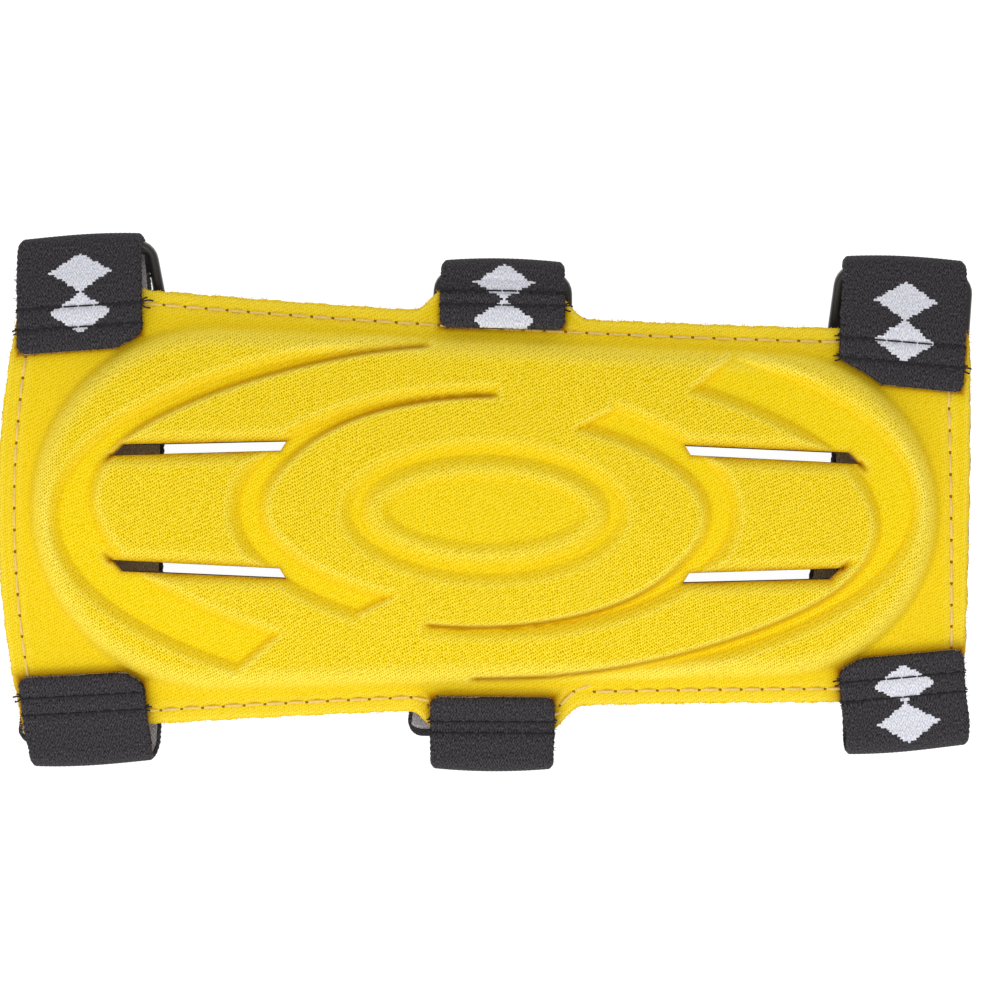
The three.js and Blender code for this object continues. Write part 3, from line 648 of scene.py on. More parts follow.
def lockstitch_tree():
    """Geometry nodes that sew along a path: a thread from hole to hole, and a dark dent at each hole."""
    sizes = {"Path": "Geometry", "Stitch": "Float", "Diameter": "Float"}
    tree, given = new_tree("Lockstitch", {**sizes, "Thread": "Material", "Hole": "Material"})
    path = add_node(tree, "GeometryNodeMeshToCurve", {"Mesh": given["Path"]})
    spaced = add_node(
        tree, "GeometryNodeResampleCurve", {"Curve": path, "Length": given["Stitch"]}, mode="LENGTH"
    )
    holes = add_node(tree, "GeometryNodeCurveToPoints", {"Curve": spaced}, mode="EVALUATED")
    level = add_node(
        tree, "ShaderNodeVectorMath", {0: holes.outputs["Tangent"], 1: (1, 1, 0)}, operation="MULTIPLY"
    )
    heading = add_node(
        tree, "FunctionNodeAlignRotationToVector", {"Vector": level}, axis="X", pivot_axis="Z"
    )
    turned = add_node(
        tree,
        "FunctionNodeAlignRotationToVector",
        {"Rotation": heading, "Vector": holes.outputs["Tangent"]},
        axis="X",
        pivot_axis="Y",
    )
    arch = []
    for along, up in ((0.03, -0.5), (0.5, 1.5), (0.97, -0.5)):
        reach = add_node(tree, "ShaderNodeMath", {0: given["Stitch"], 1: along}, operation="MULTIPLY")
        height = add_node(tree, "ShaderNodeMath", {0: given["Diameter"], 1: up}, operation="MULTIPLY")
        arch.append(add_node(tree, "ShaderNodeCombineXYZ", {"X": reach, "Z": height}))
    line = add_node(
        tree,
        "GeometryNodeCurveQuadraticBezier",
        {"Resolution": 6, "Start": arch[0], "Middle": arch[1], "End": arch[2]},
    )
    radius = add_node(tree, "ShaderNodeMath", {0: given["Diameter"], 1: 0.5}, operation="MULTIPLY")
    section = add_node(tree, "GeometryNodeCurvePrimitiveCircle", {"Resolution": 6, "Radius": radius})
    thread = add_node(
        tree, "GeometryNodeCurveToMesh", {"Curve": line, "Profile Curve": section, "Fill Caps": True}
    )
    dent = add_node(tree, "GeometryNodeMeshIcoSphere", {"Radius": radius, "Subdivisions": 1})
    joined = add_node(tree, "GeometryNodeJoinGeometry")
    for shape, scale, finish in ((thread, (1, 1, 1), "Thread"), (dent, (1.6, 1.35, 0.5), "Hole")):
        placed = add_node(
            tree,
            "GeometryNodeInstanceOnPoints",
            {"Points": holes, "Instance": shape, "Rotation": turned, "Scale": scale},
        )
        made = add_node(tree, "GeometryNodeRealizeInstances", {"Geometry": placed})
        part = add_node(tree, "GeometryNodeSetMaterial", {"Geometry": made, "Material": given[finish]})
        tree.links.new(part.outputs[0], joined.inputs[0])
    add_node(tree, "NodeGroupOutput", {"Made": joined})
    return tree


def fray_tree():
    """Geometry nodes that set loose fibre ends along a path, each shifted, turned and scaled at random."""
    sizes = {"Path": "Geometry", "Spacing": "Float", "Length": "Float", "Diameter": "Float"}
    tree, given = new_tree("Fray", {**sizes, "Fibre": "Material"})
    path = add_node(tree, "GeometryNodeMeshToCurve", {"Mesh": given["Path"]})
    ends = add_node(
        tree, "GeometryNodeCurveToPoints", {"Curve": path, "Length": given["Spacing"]}, mode="LENGTH"
    )
    limits = {"Seed": 3}
    for limit, share in (("Min", -0.25), ("Max", 0.25)):
        stray = add_node(tree, "ShaderNodeMath", {0: given["Length"], 1: share}, operation="MULTIPLY")
        limits[limit] = add_node(tree, "ShaderNodeCombineXYZ", {"X": stray, "Y": stray})
    shift = add_node(tree, "FunctionNodeRandomValue", limits, data_type="FLOAT_VECTOR")
    strewn = add_node(tree, "GeometryNodeSetPosition", {"Geometry": ends, "Offset": shift})
    turn = add_node(
        tree,
        "FunctionNodeRandomValue",
        {"Min": (-0.4, -0.5, 0), "Max": (0.4, 0.15, 2 * math.pi), "Seed": 5},
        data_type="FLOAT_VECTOR",
    )
    size = add_node(tree, "FunctionNodeRandomValue", {"Min": 0.4, "Max": 1.3, "Seed": 7}, data_type="FLOAT")
    bow = []
    for shares in ((0, 0, 0), (0.55, 0.3, 0.2), (1, -0.1, 0)):
        parts = {}
        for axis, share in zip("XYZ", shares):
            part = {0: given["Length"], 1: share}
            parts[axis] = add_node(tree, "ShaderNodeMath", part, operation="MULTIPLY")
        bow.append(add_node(tree, "ShaderNodeCombineXYZ", parts))
    line = add_node(
        tree,
        "GeometryNodeCurveQuadraticBezier",
        {"Resolution": 4, "Start": bow[0], "Middle": bow[1], "End": bow[2]},
    )
    radius = add_node(tree, "ShaderNodeMath", {0: given["Diameter"], 1: 0.5}, operation="MULTIPLY")
    section = add_node(tree, "GeometryNodeCurvePrimitiveCircle", {"Resolution": 3, "Radius": radius})
    fibre = add_node(
        tree, "GeometryNodeCurveToMesh", {"Curve": line, "Profile Curve": section, "Fill Caps": True}
    )
    placed = add_node(
        tree,
        "GeometryNodeInstanceOnPoints",
        {"Points": strewn, "Instance": fibre, "Rotation": turn, "Scale": size},
    )
    made = add_node(tree, "GeometryNodeRealizeInstances", {"Geometry": placed})
    dyed = add_node(tree, "GeometryNodeSetMaterial", {"Geometry": made, "Material": given["Fibre"]})
    add_node(tree, "NodeGroupOutput", {"Made": dyed})
    return tree


def run_tree(name, paths, tree, settings):
    """A piece that a tree of geometry nodes makes along paths, which are in the pad's millimetres."""
    points, edges = [], []
    for path in paths:
        first = len(points)
        points += list(path)
        edges += [(first + i, first + i + 1) for i in range(len(path) - 1)]
    mesh = bpy.data.meshes.new(name)
    mesh.from_pydata(in_frame(points), edges, [])
    piece = new_piece(name, mesh)
    modifier = piece.modifiers.new("Nodes", "NODES")
    modifier.node_group = tree
    for item in tree.interface.items_tree:
        if item.name in settings:
            modifier[item.identifier] = settings[item.name]
    return bake(piece)


def outline_paths(upper_edge, side, elbow, wrist, slant, short, height):
    """Four lines round the pad, this far inside its edges and each ending short of a corner, at height(x, y).
    slant is the slope of the line along the wrist edge, and upper_edge(x) is what the upper line keeps to."""
    corner_x = elbow_edge(ELBOW_HALF - side) + elbow
    wrist_y = WRIST_HALF - side
    near_x = np.linspace(corner_x, WRIST_X - wrist + slant * wrist_y - short, SIDE_STEPS)
    far_x = np.linspace(WRIST_X - wrist - slant * wrist_y, corner_x + short, SIDE_STEPS)
    elbow_y = edge_at(corner_x) - side
    up_y = np.linspace(-wrist_y, wrist_y - short, END_STEPS)
    down_y = np.linspace(elbow_y, short - elbow_y, END_STEPS)
    lines = []
    for x, sign, edge in ((near_x, -1, edge_at), (far_x, 1, upper_edge)):
        lines.append((x, sign * (edge(x) - side * np.sqrt(1 + edge_slope(x, edge) ** 2))))
    lines.append((WRIST_X - wrist - slant * up_y, up_y))
    lines.append((elbow_edge(down_y) + elbow, down_y))
    return [np.stack([x, y, height(x, y)], -1) for x, y in lines]


def fine_grained(name, constants, grain, shades, relief, detail=2):
    """A material whose colour and bump both follow one noise. grain is the noise's size in millimetres."""
    material, tree, shader = new_material(name, constants)
    place = add_node(tree, "ShaderNodeTexCoord").outputs["Object"]
    spread = {"Vector": place, "Scale": 1 / (grain * MM), "Detail": detail}
    speck = add_node(tree, "ShaderNodeTexNoise", spread)
    ends = {"A": shades[0], "B": shades[1]}
    colour = add_node(tree, "ShaderNodeMix", {"Factor": speck, **ends}, data_type="RGBA")
    bump = add_node(tree, "ShaderNodeBump", {"Height": speck, "Strength": relief, "Distance": 0.1 * MM})
    join(tree, shader, colour, bump)
    return material


# Polyester sewing thread: gold, slightly glossy, with the light and dark of its twist.
gold_thread = fine_grained(
    "gold_sewing_thread", {"Roughness": 0.6, "Sheen Weight": 0.2}, 0.5, ("D8AE40", "F6E082"), 0.3
)

# The bottom of a needle hole: knit pushed into the foam, drawn dark brown as the painted shade in the hole.
painted_needle_hole_shade = fine_grained("painted_needle_hole_shade", {"Roughness": 1.0}, 0.4, ("744A0C", "A4701C"), 0.3)

# Black polyester sewing thread: dark grey where its twist catches the light.
black_thread = fine_grained(
    "black_sewing_thread", {"Roughness": 0.8, "Specular IOR Level": 0.2}, 0.4, ("161516", "343234"), 0.3
)

# Yarn ends of the knit: the same dye, a little paler because they catch light from all sides.
yarn_ends = fine_grained("cut_yarn_ends", {"Roughness": 0.9}, 1.5, ("E2B414", "FFE25A"), 0.2)

lockstitch = lockstitch_tree()
fray = fray_tree()
edge_sizes = {"Stitch": EDGE_STITCH * MM, "Diameter": EDGE_THREAD * MM}
seam_inset = (half_width, SEAM_SIDE, SEAM_ELBOW, SEAM_WRIST, SEAM_WRIST_SLANT, EDGE_STITCH)
face_seam = run_tree(
    "edge_seam_face",
    outline_paths(*seam_inset, on_knit),
    lockstitch,
    {**edge_sizes, "Thread": gold_thread, "Hole": painted_needle_hole_shade},
)
back_seam = run_tree(
    "edge_seam_back",
    outline_paths(*seam_inset, lambda x, y: back_height(y) - BACK_SEAM_DROP),
    lockstitch,
    {**edge_sizes, "Thread": black_thread, "Hole": black_thread},
)
edge_fray = run_tree(
    "edge_fray",
    outline_paths(edge_at, FRAY_INSET, FRAY_INSET, FRAY_INSET, 0, 0, on_knit),
    fray,
    {"Spacing": 0.34 * MM, "Length": 0.5 * MM, "Diameter": 0.12 * MM, "Fibre": yarn_ends},
)
for trim, slot in ((face_seam, "knit"), (back_seam, "lining"), (edge_fray, "knit")):
    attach(trim, "root")

# Elastic loops and straps: knitted elastic 25 mm wide, black with white lozenges and a grey reverse.
# Each has a turned-in hem that is sewn to the flange with two seams. A strap folds under the pad, runs to the
# buckle's lower bar and turns back round it; a loop folds round the buckle's top bar.

STRAP_WIDTH = 24.8
FOLD_WIDTH = 24.5
BUCKLED_WIDTH = 23.4
STRAP_THICKNESS = 1.2
HEM_THICKNESS = 2.4
HEM_EDGE = 1.0
HEM_CORNER = 1.8
TAIL_CORNER = 3.2
TAIL_EASE = 6.0
TAIL_BINDING = 1.3
FOLD_CORNER = 1.0
FOLD_BOW = 0.6
FOLD_REACH = 4.0
LOOP_DROP = 0.25
LOOP_REAR_HEIGHT = 5.0
LOOP_REAR_NEAR = 2.0
LOOP_REAR_FAR = 7.0
STRAP_DROP = 0.1
STRAP_SQUARE = 5.0
STRAP_RISE_FOOT = 14.0
STRAP_RISE_HEAD = 4.0
TAIL_FALL = 15.0
BUCKLE_THICKNESS = 2.6
BUCKLE_BAR = 2.8
BUCKLE_UPPER = 8.0
BUCKLE_LOWER = 6.6
BAR_SPAN = BUCKLE_UPPER + BUCKLE_LOWER + 2 * BUCKLE_BAR
TOP_BAR_HEIGHT = 8.8
TOP_BAR_SLACK = 1.3
LOWER_BAR_SLACK = 0.2
WRAP_SHIFT = 0.7
TAIL_HEIGHT = STRAP_THICKNESS / 2
REAR_HEIGHT = TAIL_HEIGHT + STRAP_THICKNESS + GAP
LOWER_BAR_HEIGHT = STRAP_THICKNESS + GAP + BUCKLE_THICKNESS / 2 + LOWER_BAR_SLACK
BUCKLE_TILT = math.asin((TOP_BAR_HEIGHT - LOWER_BAR_HEIGHT) / BAR_SPAN)
FOLD_STEPS = 28
WEAVE_STEP = 0.4
HEM_STEPS = 400
END_STATIONS = np.array([0, 0.12, 0.3, 0.6])
RIBS = 24
RIB_HEIGHT = 0.02
RIB_SPAN = 0.93
ROUND_FROM = 0.96
ROUND_TO = 0.99
SELVEDGE_LOOP = 0.2
SELVEDGE_PITCH = 1.3
SEAM_STITCH = 2.7
SEAM_THREAD = 0.34
SEAM_DIP = 0.4
DIP_REACH = 0.75
SEAM_MARGIN = 0.5
SEAM_SPAN = 0.975
SEAM_POINTS = 60
SEAM_LIFT = 0.1

# A loose end frays into three plies. Each has a share of the end's length, a lean and a curl.
PLIES = ((1, 0.1, 0.5), (0.75, -0.5, -0.6), (0.5, 0.7, 0.8))
PLY_POINTS = 6
PLY_ROOT = 0.97
PLY_LIFT = 0.4
PLY_RISE = 0.4
PLY_LEAST = 0.3
# How far the painted shadow beside a loop's hem and beside a strap's hem reaches, and how dark it is at most.
LOOP_SHADOW_REACH = 0.45
STRAP_SHADOW_REACH = 0.9
HEM_SHADOW_SHARE = 0.9

# hem and fold are x, y and turn in degrees of the two ends of a band's front, and a buckle is x and turn of
# its top bar. seams are distances from the hem's end, each with the lengths of its thread's loose ends to the
# left and right. motif is where the pattern starts, slip is how far a fold's lower side lies to the right,
# and tail is x and y of a strap's end.
STRAPS = {
    "elbow": {
        "loop": {
            "hem": (-80.7, 31.1, 4.8),
            "fold": (-81.5, 54.7, 3.4),
            "seams": ((4.6, 1.0, 0.4), (8.8, 0.3, 2.4)),
            "motif": 3.0,
        },
        "buckle": (-80.2, 8.0),
        "front": {
            "hem": (-80.4, -33.4, 3.6),
            "fold": (-78.6, -51.9, 4.2),
            "seams": ((4.2, 1.6, 0.4), (7.8, 0.4, 1.2)),
            "motif": 30.0,
            "slip": 1.2,
        },
        "tail": (-81.6, -48.0),
    },
    "middle": {
        "loop": {
            "hem": (3.0, 36.4, -0.7),
            "fold": (3.0, 50.8, -0.2),
            "seams": ((4.6, 0.3, 1.6), (7.9, 0.5, 0.3)),
            "motif": -3.0,
        },
        "buckle": (3.1, -1.2),
        "front": {
            "hem": (1.9, -37.0, 0.3),
            "fold": (1.9, -52.2, 0.3),
            "seams": ((5.0, 0.8, 0.6), (7.8, 0.3, 0.3)),
            "motif": 26.0,
            "slip": 0.0,
        },
        "tail": (-3.0, -45.5),
    },
    "wrist": {
        "loop": {
            "hem": (82.0, 25.8, -5.4),
            "fold": (83.1, 52.2, -1.6),
            "seams": ((4.6, 1.3, 1.5), (8.8, 1.2, 0.4)),
            "motif": 4.5,
        },
        "buckle": (83.4, -3.6),
        "front": {
            "hem": (83.0, -27.5, 6.0),
            "fold": (85.0, -47.2, 6.0),
            "seams": ((4.5, 1.5, 0.4), (8.6, 0.4, 0.5)),
            "motif": 1.4,
            "slip": 0.0,
        },
        "tail": (75.0, -30.0),
    },
}


def on_face(lift):
    return lambda y: back_height(y) + FLANGE_TOP + lift


def under_lining(y):
    return back_height(y) - GAP - STRAP_THICKNESS / 2


HEM_LIFT = GAP + HEM_THICKNESS / 2
SINGLE_LIFT = GAP + HEM_THICKNESS - STRAP_THICKNESS / 2


def band_row(x, y, turn, height, thickness=STRAP_THICKNESS, width=STRAP_WIDTH):
    """One line across a band: its two ends and its thickness. height is a number or a function of y."""
    reach = width / 2
    ends = []
    for side in (-1, 1):
        end_y = y + side * reach * math.sin(math.radians(turn))
        end_x = x + side * reach * math.cos(math.radians(turn))
        ends.append((end_x, end_y, height(end_y) if callable(height) else height))
    return (*ends[0], *ends[1], thickness)


def fold_rows(y, height, radius, outwards, first, last):
    """A fold, from straight up to straight down. The band goes from one x, turn and width to another, most of
    it past the outermost line."""
    rows = []
    for share in np.linspace(0, 1, FOLD_STEPS + 1):
        angle = math.radians(90 - 180 * share)
        x, turn, width = (a + (b - a) * share**2 for a, b in zip(first, last))
        place_y = y + outwards * radius * math.cos(angle)
        rows.append(band_row(x, place_y, turn, height + radius * math.sin(angle), width=width))
    return rows


def hem_rows(band, edge):
    """The hem on the flange, and the start of the single layer that leaves the pad's edge."""
    hem, fold = np.array(band["hem"]), np.array(band["fold"])
    inwards = -math.copysign(1, edge)
    doubled = min(band["seams"][1][0] + SEAM_MARGIN, abs(edge - hem[1]) - HEM_EDGE)
    rows = []
    for y, lift, thickness in (
        (hem[1], HEM_LIFT, HEM_THICKNESS),
        (hem[1] - inwards * doubled / 2, HEM_LIFT, HEM_THICKNESS),
        (hem[1] - inwards * doubled, HEM_LIFT, HEM_THICKNESS),
        (edge + inwards * HEM_EDGE / 2, SINGLE_LIFT, STRAP_THICKNESS),
    ):
        middle = hem + (fold - hem) * (y - hem[1]) / (fold[1] - hem[1])
        rows.append(band_row(*middle, on_face(lift), thickness))
    return rows


def buckle_bars(strap):
    """The middles of the buckle's top and lower bars."""
    x, turn = strap["buckle"]
    top_y = strap["loop"]["fold"][1] - STRAP_THICKNESS - TOP_BAR_SLACK - BUCKLE_BAR / 2
    reach = BAR_SPAN * math.cos(BUCKLE_TILT)
    lower_x = x + reach * math.sin(math.radians(turn))
    lower_y = top_y - reach * math.cos(math.radians(turn))
    return (x, top_y, TOP_BAR_HEIGHT), (lower_x, lower_y, LOWER_BAR_HEIGHT)


def loop_rows(strap):
    fold_x, fold_y, fold_turn = strap["loop"]["fold"]
    bar_x, bar_y, _ = buckle_bars(strap)[0]
    turn = strap["buckle"][1]
    edge = edge_at(fold_x)
    fold_top = on_face(SINGLE_LIFT)(edge) - LOOP_DROP * (fold_y - edge)
    radius = (fold_top - LOOP_REAR_HEIGHT) / 2
    bow_y = fold_y - STRAP_THICKNESS / 2 - radius

    def in_buckle(y):
        return bar_x + (bar_y - y) * math.tan(math.radians(turn))

    ends = (fold_x, fold_turn, FOLD_WIDTH), (in_buckle(bow_y), turn, BUCKLED_WIDTH)
    rows = hem_rows(strap["loop"], edge) + fold_rows(bow_y, LOOP_REAR_HEIGHT + radius, radius, 1, *ends)
    for y in (edge - LOOP_REAR_NEAR, edge - LOOP_REAR_FAR):
        rows.append(band_row(in_buckle(y), y, turn, under_lining, width=BUCKLED_WIDTH))
    return rows


def strap_rows(strap):
    fold_x, fold_y, fold_turn = strap["front"]["fold"]
    bar_x, bar_y, bar_height = buckle_bars(strap)[1]
    turn = strap["buckle"][1]
    edge = -edge_at(fold_x)
    fold_top = on_face(SINGLE_LIFT)(edge) - STRAP_DROP * (edge - fold_y)
    radius = (fold_top - REAR_HEIGHT) / 2
    bow_y = fold_y + STRAP_THICKNESS / 2 + radius
    wrap = BUCKLE_THICKNESS / 2 + LOWER_BAR_SLACK + GAP + STRAP_THICKNESS / 2
    slipped_x = fold_x + strap["front"]["slip"]
    front_ends = (fold_x, fold_turn, FOLD_WIDTH), (slipped_x, fold_turn, FOLD_WIDTH)
    bar_end = (bar_x, turn, BUCKLED_WIDTH)
    rows = hem_rows(strap["front"], edge)
    rows += fold_rows(bow_y, REAR_HEIGHT + radius, radius, -1, *front_ends)
    rows.append(band_row(slipped_x, bow_y + STRAP_SQUARE, 0, REAR_HEIGHT))
    rows.append(band_row(bar_x, bar_y - STRAP_RISE_FOOT, 0, REAR_HEIGHT))
    rows.append(band_row(bar_x, bar_y - STRAP_RISE_HEAD, turn, bar_height + wrap, width=BUCKLED_WIDTH))
    rows += fold_rows(bar_y + WRAP_SHIFT, bar_height, wrap, 1, bar_end, bar_end)
    rows.append(band_row(bar_x, bar_y - TAIL_FALL, turn, TAIL_HEIGHT, width=BUCKLED_WIDTH))
    rows.append(band_row(*strap["tail"], 0, TAIL_HEIGHT))
    return rows


def trimmed_start(rows, across):
    """How far past the hem's end each line along a band starts, clear of the dome and with round corners."""
    hem, edge = np.array(rows[0]), np.array(rows[2])
    steps = np.linspace(0, 1, HEM_STEPS)[:, None]
    starts = []
    for side in across:
        share = (1 + side) / 2
        first = hem[:2] * (1 - share) + hem[3:5] * share
        last = edge[:2] * (1 - share) + edge[3:5] * share
        line = first + (last - first) * steps
        inside = np.nonzero(dome_inset(line[:, 0], line[:, 1]) > -GAP)[0]
        from_dome = 0 if len(inside) == 0 else math.dist(first, last) * inside[-1] / HEM_STEPS
        starts.append(from_dome)
    return np.array(starts) + corner_trim(across, HEM_CORNER)


def corner_trim(across, radius):
    """How far a round corner cuts back each line along a band."""
    to_selvedge = np.clip(STRAP_WIDTH / 2 * (1 - np.abs(across)), 0, radius)
    return radius - np.sqrt(radius**2 - (radius - to_selvedge) ** 2)


def weave_band(rows, outwards, seams):
    """A band's mesh, the lines of its seams, the loose ends of their threads, and its rim. A strap's tail
    lies with its reverse up, so its two sides change places in the turn round the bar. Its end is black."""
    rows = np.array(rows)
    middle = (rows[:, :3] + rows[:, 3:6]) / 2
    reach = np.concatenate([[0], np.cumsum(np.linalg.norm(np.diff(middle, axis=0), axis=1))])
    hem_end, length = reach[2], reach[-1]
    count = int(length / WEAVE_STEP)
    stations = np.concatenate([END_STATIONS, np.linspace(0, length, count)[3:-2]])
    stations = np.concatenate([stations, length - END_STATIONS[2::-1]])
    ribs = np.linspace(-RIB_SPAN, RIB_SPAN, 2 * RIBS + 1)
    across = np.concatenate([[-ROUND_TO, -ROUND_FROM], ribs, [ROUND_FROM, ROUND_TO]])
    rib = np.concatenate([[0, 0], RIB_HEIGHT * (-1.0) ** np.arange(len(ribs)), [0, 0]])

    def lay(station, side):
        """Places, outward normals and thicknesses at distances along the band, for shares across it. The
        fold's corners are tucked in."""
        ends = [np.interp(station, reach, rows[:, i]) for i in range(7)]
        ahead = [np.interp(station + 0.2, reach, rows[:, i]) for i in range(6)]
        behind = [np.interp(station - 0.2, reach, rows[:, i]) for i in range(6)]
        share = (1 + side) / 2
        place = np.stack([ends[i] * (1 - share) + ends[i + 3] * share for i in range(3)], -1)
        along = np.stack([ahead[i] + ahead[i + 3] - behind[i] - behind[i + 3] for i in range(3)], -1)
        width = np.stack([ends[i + 3] - ends[i] for i in range(3)], -1)
        up = -outwards * np.cross(along, width)
        outermost = np.abs(middle[:, 1]).max()
        in_fold = np.clip((np.abs(place[..., 1]) - outermost) / FOLD_REACH + 1, 0, 1) ** 2
        tucked = in_fold * (FOLD_BOW * side**2 + corner_trim(side, FOLD_CORNER))
        place[..., 1] -= np.sign(place[..., 1]) * tucked
        return place, up / np.linalg.norm(up, axis=-1, keepdims=True), ends[6]

    def remap(station, side):
        """Draws the stations together at both ends, to where each line along the band starts and stops."""
        first = trimmed_start(rows, side)
        station = np.where(station < hem_end, first + station * (hem_end - first) / hem_end, station)
        eased = length - TAIL_EASE
        last = TAIL_EASE - corner_trim(side, TAIL_CORNER)
        return np.where(station > eased, eased + (station - eased) * last / TAIL_EASE, station)

    station = remap(stations[:, None], across)
    place, up, thickness = lay(station, across[None, :])
    from_end = np.minimum(stations, length - stations)[:, None]
    rounding = np.sqrt(1 - (1 - np.clip(from_end / thickness * 2 + 0.06, 0, 1)) ** 2)
    is_hem = np.clip(thickness / STRAP_THICKNESS - 1, 0, 1)
    flank = np.clip((np.abs(across) - ROUND_FROM) / (ROUND_TO - ROUND_FROM), 0, 1)[None, :]
    half = thickness / 2 * rounding * (1 - flank * (0.5 - 0.1 * is_hem))
    dip = sum(SEAM_DIP * np.exp(-(((station - seam[0]) / DIP_REACH) ** 2)) for seam in seams)
    loops = SELVEDGE_LOOP * np.abs(np.sin(math.pi * stations / SELVEDGE_PITCH))[:, None] * flank
    sideways = (rows[0, 3:6] - rows[0, :3]) / STRAP_WIDTH * np.sign(across)[None, :, None]
    place = place + sideways * loops[..., None]
    face = place + up * (half - dip + rib * rounding)[..., None]
    back = place - up * (half + (rib - RIB_HEIGHT) * rounding)[..., None]

    sides = np.array([-1.0, 1.0])
    edge_station = remap(stations[:, None], sides)
    edge_hem = np.clip(lay(edge_station, sides[None, :])[2] / STRAP_THICKNESS - 1, 0, 1)
    edge = lay(edge_station, sides[None, :] * (1 - 0.03 * edge_hem))[0]
    edge = edge + sideways[:, [0, -1]] * loops[:, [0, -1], None]

    ring = np.concatenate([face, edge[:, 1:], back[:, ::-1], edge[:, :1]], axis=1)
    lines = ring.shape[1]
    index = np.arange(len(stations) * lines).reshape(-1, lines)
    following = np.roll(index, -1, axis=1)
    quads = np.stack([index[:-1], following[:-1], following[1:], index[1:]], -1).reshape(-1, 4)
    faces = (quads if outwards < 0 else quads[:, ::-1]).tolist()
    for row, flipped in ((index[0], outwards < 0), (index[-1], outwards > 0)):
        cap = row.tolist()
        faces.append(cap[::-1] if flipped else cap)
    mesh = bpy.data.meshes.new("band")
    mesh.from_pydata(in_frame(ring.reshape(-1, 3)), [], faces)

    side = np.concatenate([across, [1], across[::-1], [-1]]) * STRAP_WIDTH / 2
    reverse = np.concatenate([np.zeros(len(across)), [0.5], np.ones(len(across)), [0.5]])[None, :]
    is_tail = (stations > reach[-3 - FOLD_STEPS // 2])[:, None] & (outwards < 0)
    reverse = np.where(is_tail, 1 - reverse, reverse)
    reverse[stations > length - TAIL_BINDING] = 0
    along = np.concatenate([station, edge_station[:, 1:], station[:, ::-1], edge_station[:, :1]], axis=1)
    weave = np.stack([np.broadcast_to(side, along.shape), along, reverse], -1)
    mesh.attributes.new("weave", "FLOAT_VECTOR", "POINT").data.foreach_set("vector", weave.ravel())

    paths, thread_ends = [], []
    for seam, *loose in seams:
        line = np.linspace(-SEAM_SPAN, SEAM_SPAN - 2 * SEAM_STITCH / STRAP_WIDTH, SEAM_POINTS)
        line = line[trimmed_start(rows, line) < seam - SEAM_MARGIN]
        seam_place, seam_up, seam_thickness = lay(np.full(len(line), seam), line)
        paths.append(seam_place + seam_up * (seam_thickness / 2 - SEAM_DIP + SEAM_LIFT)[:, None])
        for end, tail in zip(sides, loose):
            root = lay(np.array([seam]), np.array([end * PLY_ROOT]))[0][0] + (0, 0, PLY_LIFT)
            outward = end * (rows[0, 3:6] - rows[0, :3]) / STRAP_WIDTH
            shares = np.linspace(0, 1, PLY_POINTS)[:, None]
            for part, aside, curl in PLIES:
                bend = np.array([0, curl, PLY_RISE]) * (shares - shares**2) + np.array([0, aside, 0]) * shares
                thread_ends.append(root + (outward * shares + bend) * (tail * part + PLY_LEAST))
    rim = np.concatenate([face[::-1, 0], face[0], face[:, -1]])
    from_start = np.concatenate([stations[::-1], np.zeros(len(across)), stations])
    return mesh, paths, thread_ends, rim[from_start < reach[4]]


# Knitted elastic: dull black polyester over rubber, in fine ribs and stitches with stray light fibres. The
# white pattern is knitted in, with stepped edges, and the reverse shows the grey of both yarns between black
# selvedges. Below the slots the grey is painted warm brown, as painted bounce light that stands for the light
# coming down past their yellow walls.
CELL_ACROSS = 0.55
CELL_ALONG = 0.5
LOZENGE_ALONG = 8.4
LOZENGE_ACROSS = 6.2
LOZENGES = 2
MOTIF_PERIOD = 78.0
SELVEDGE = 11.7


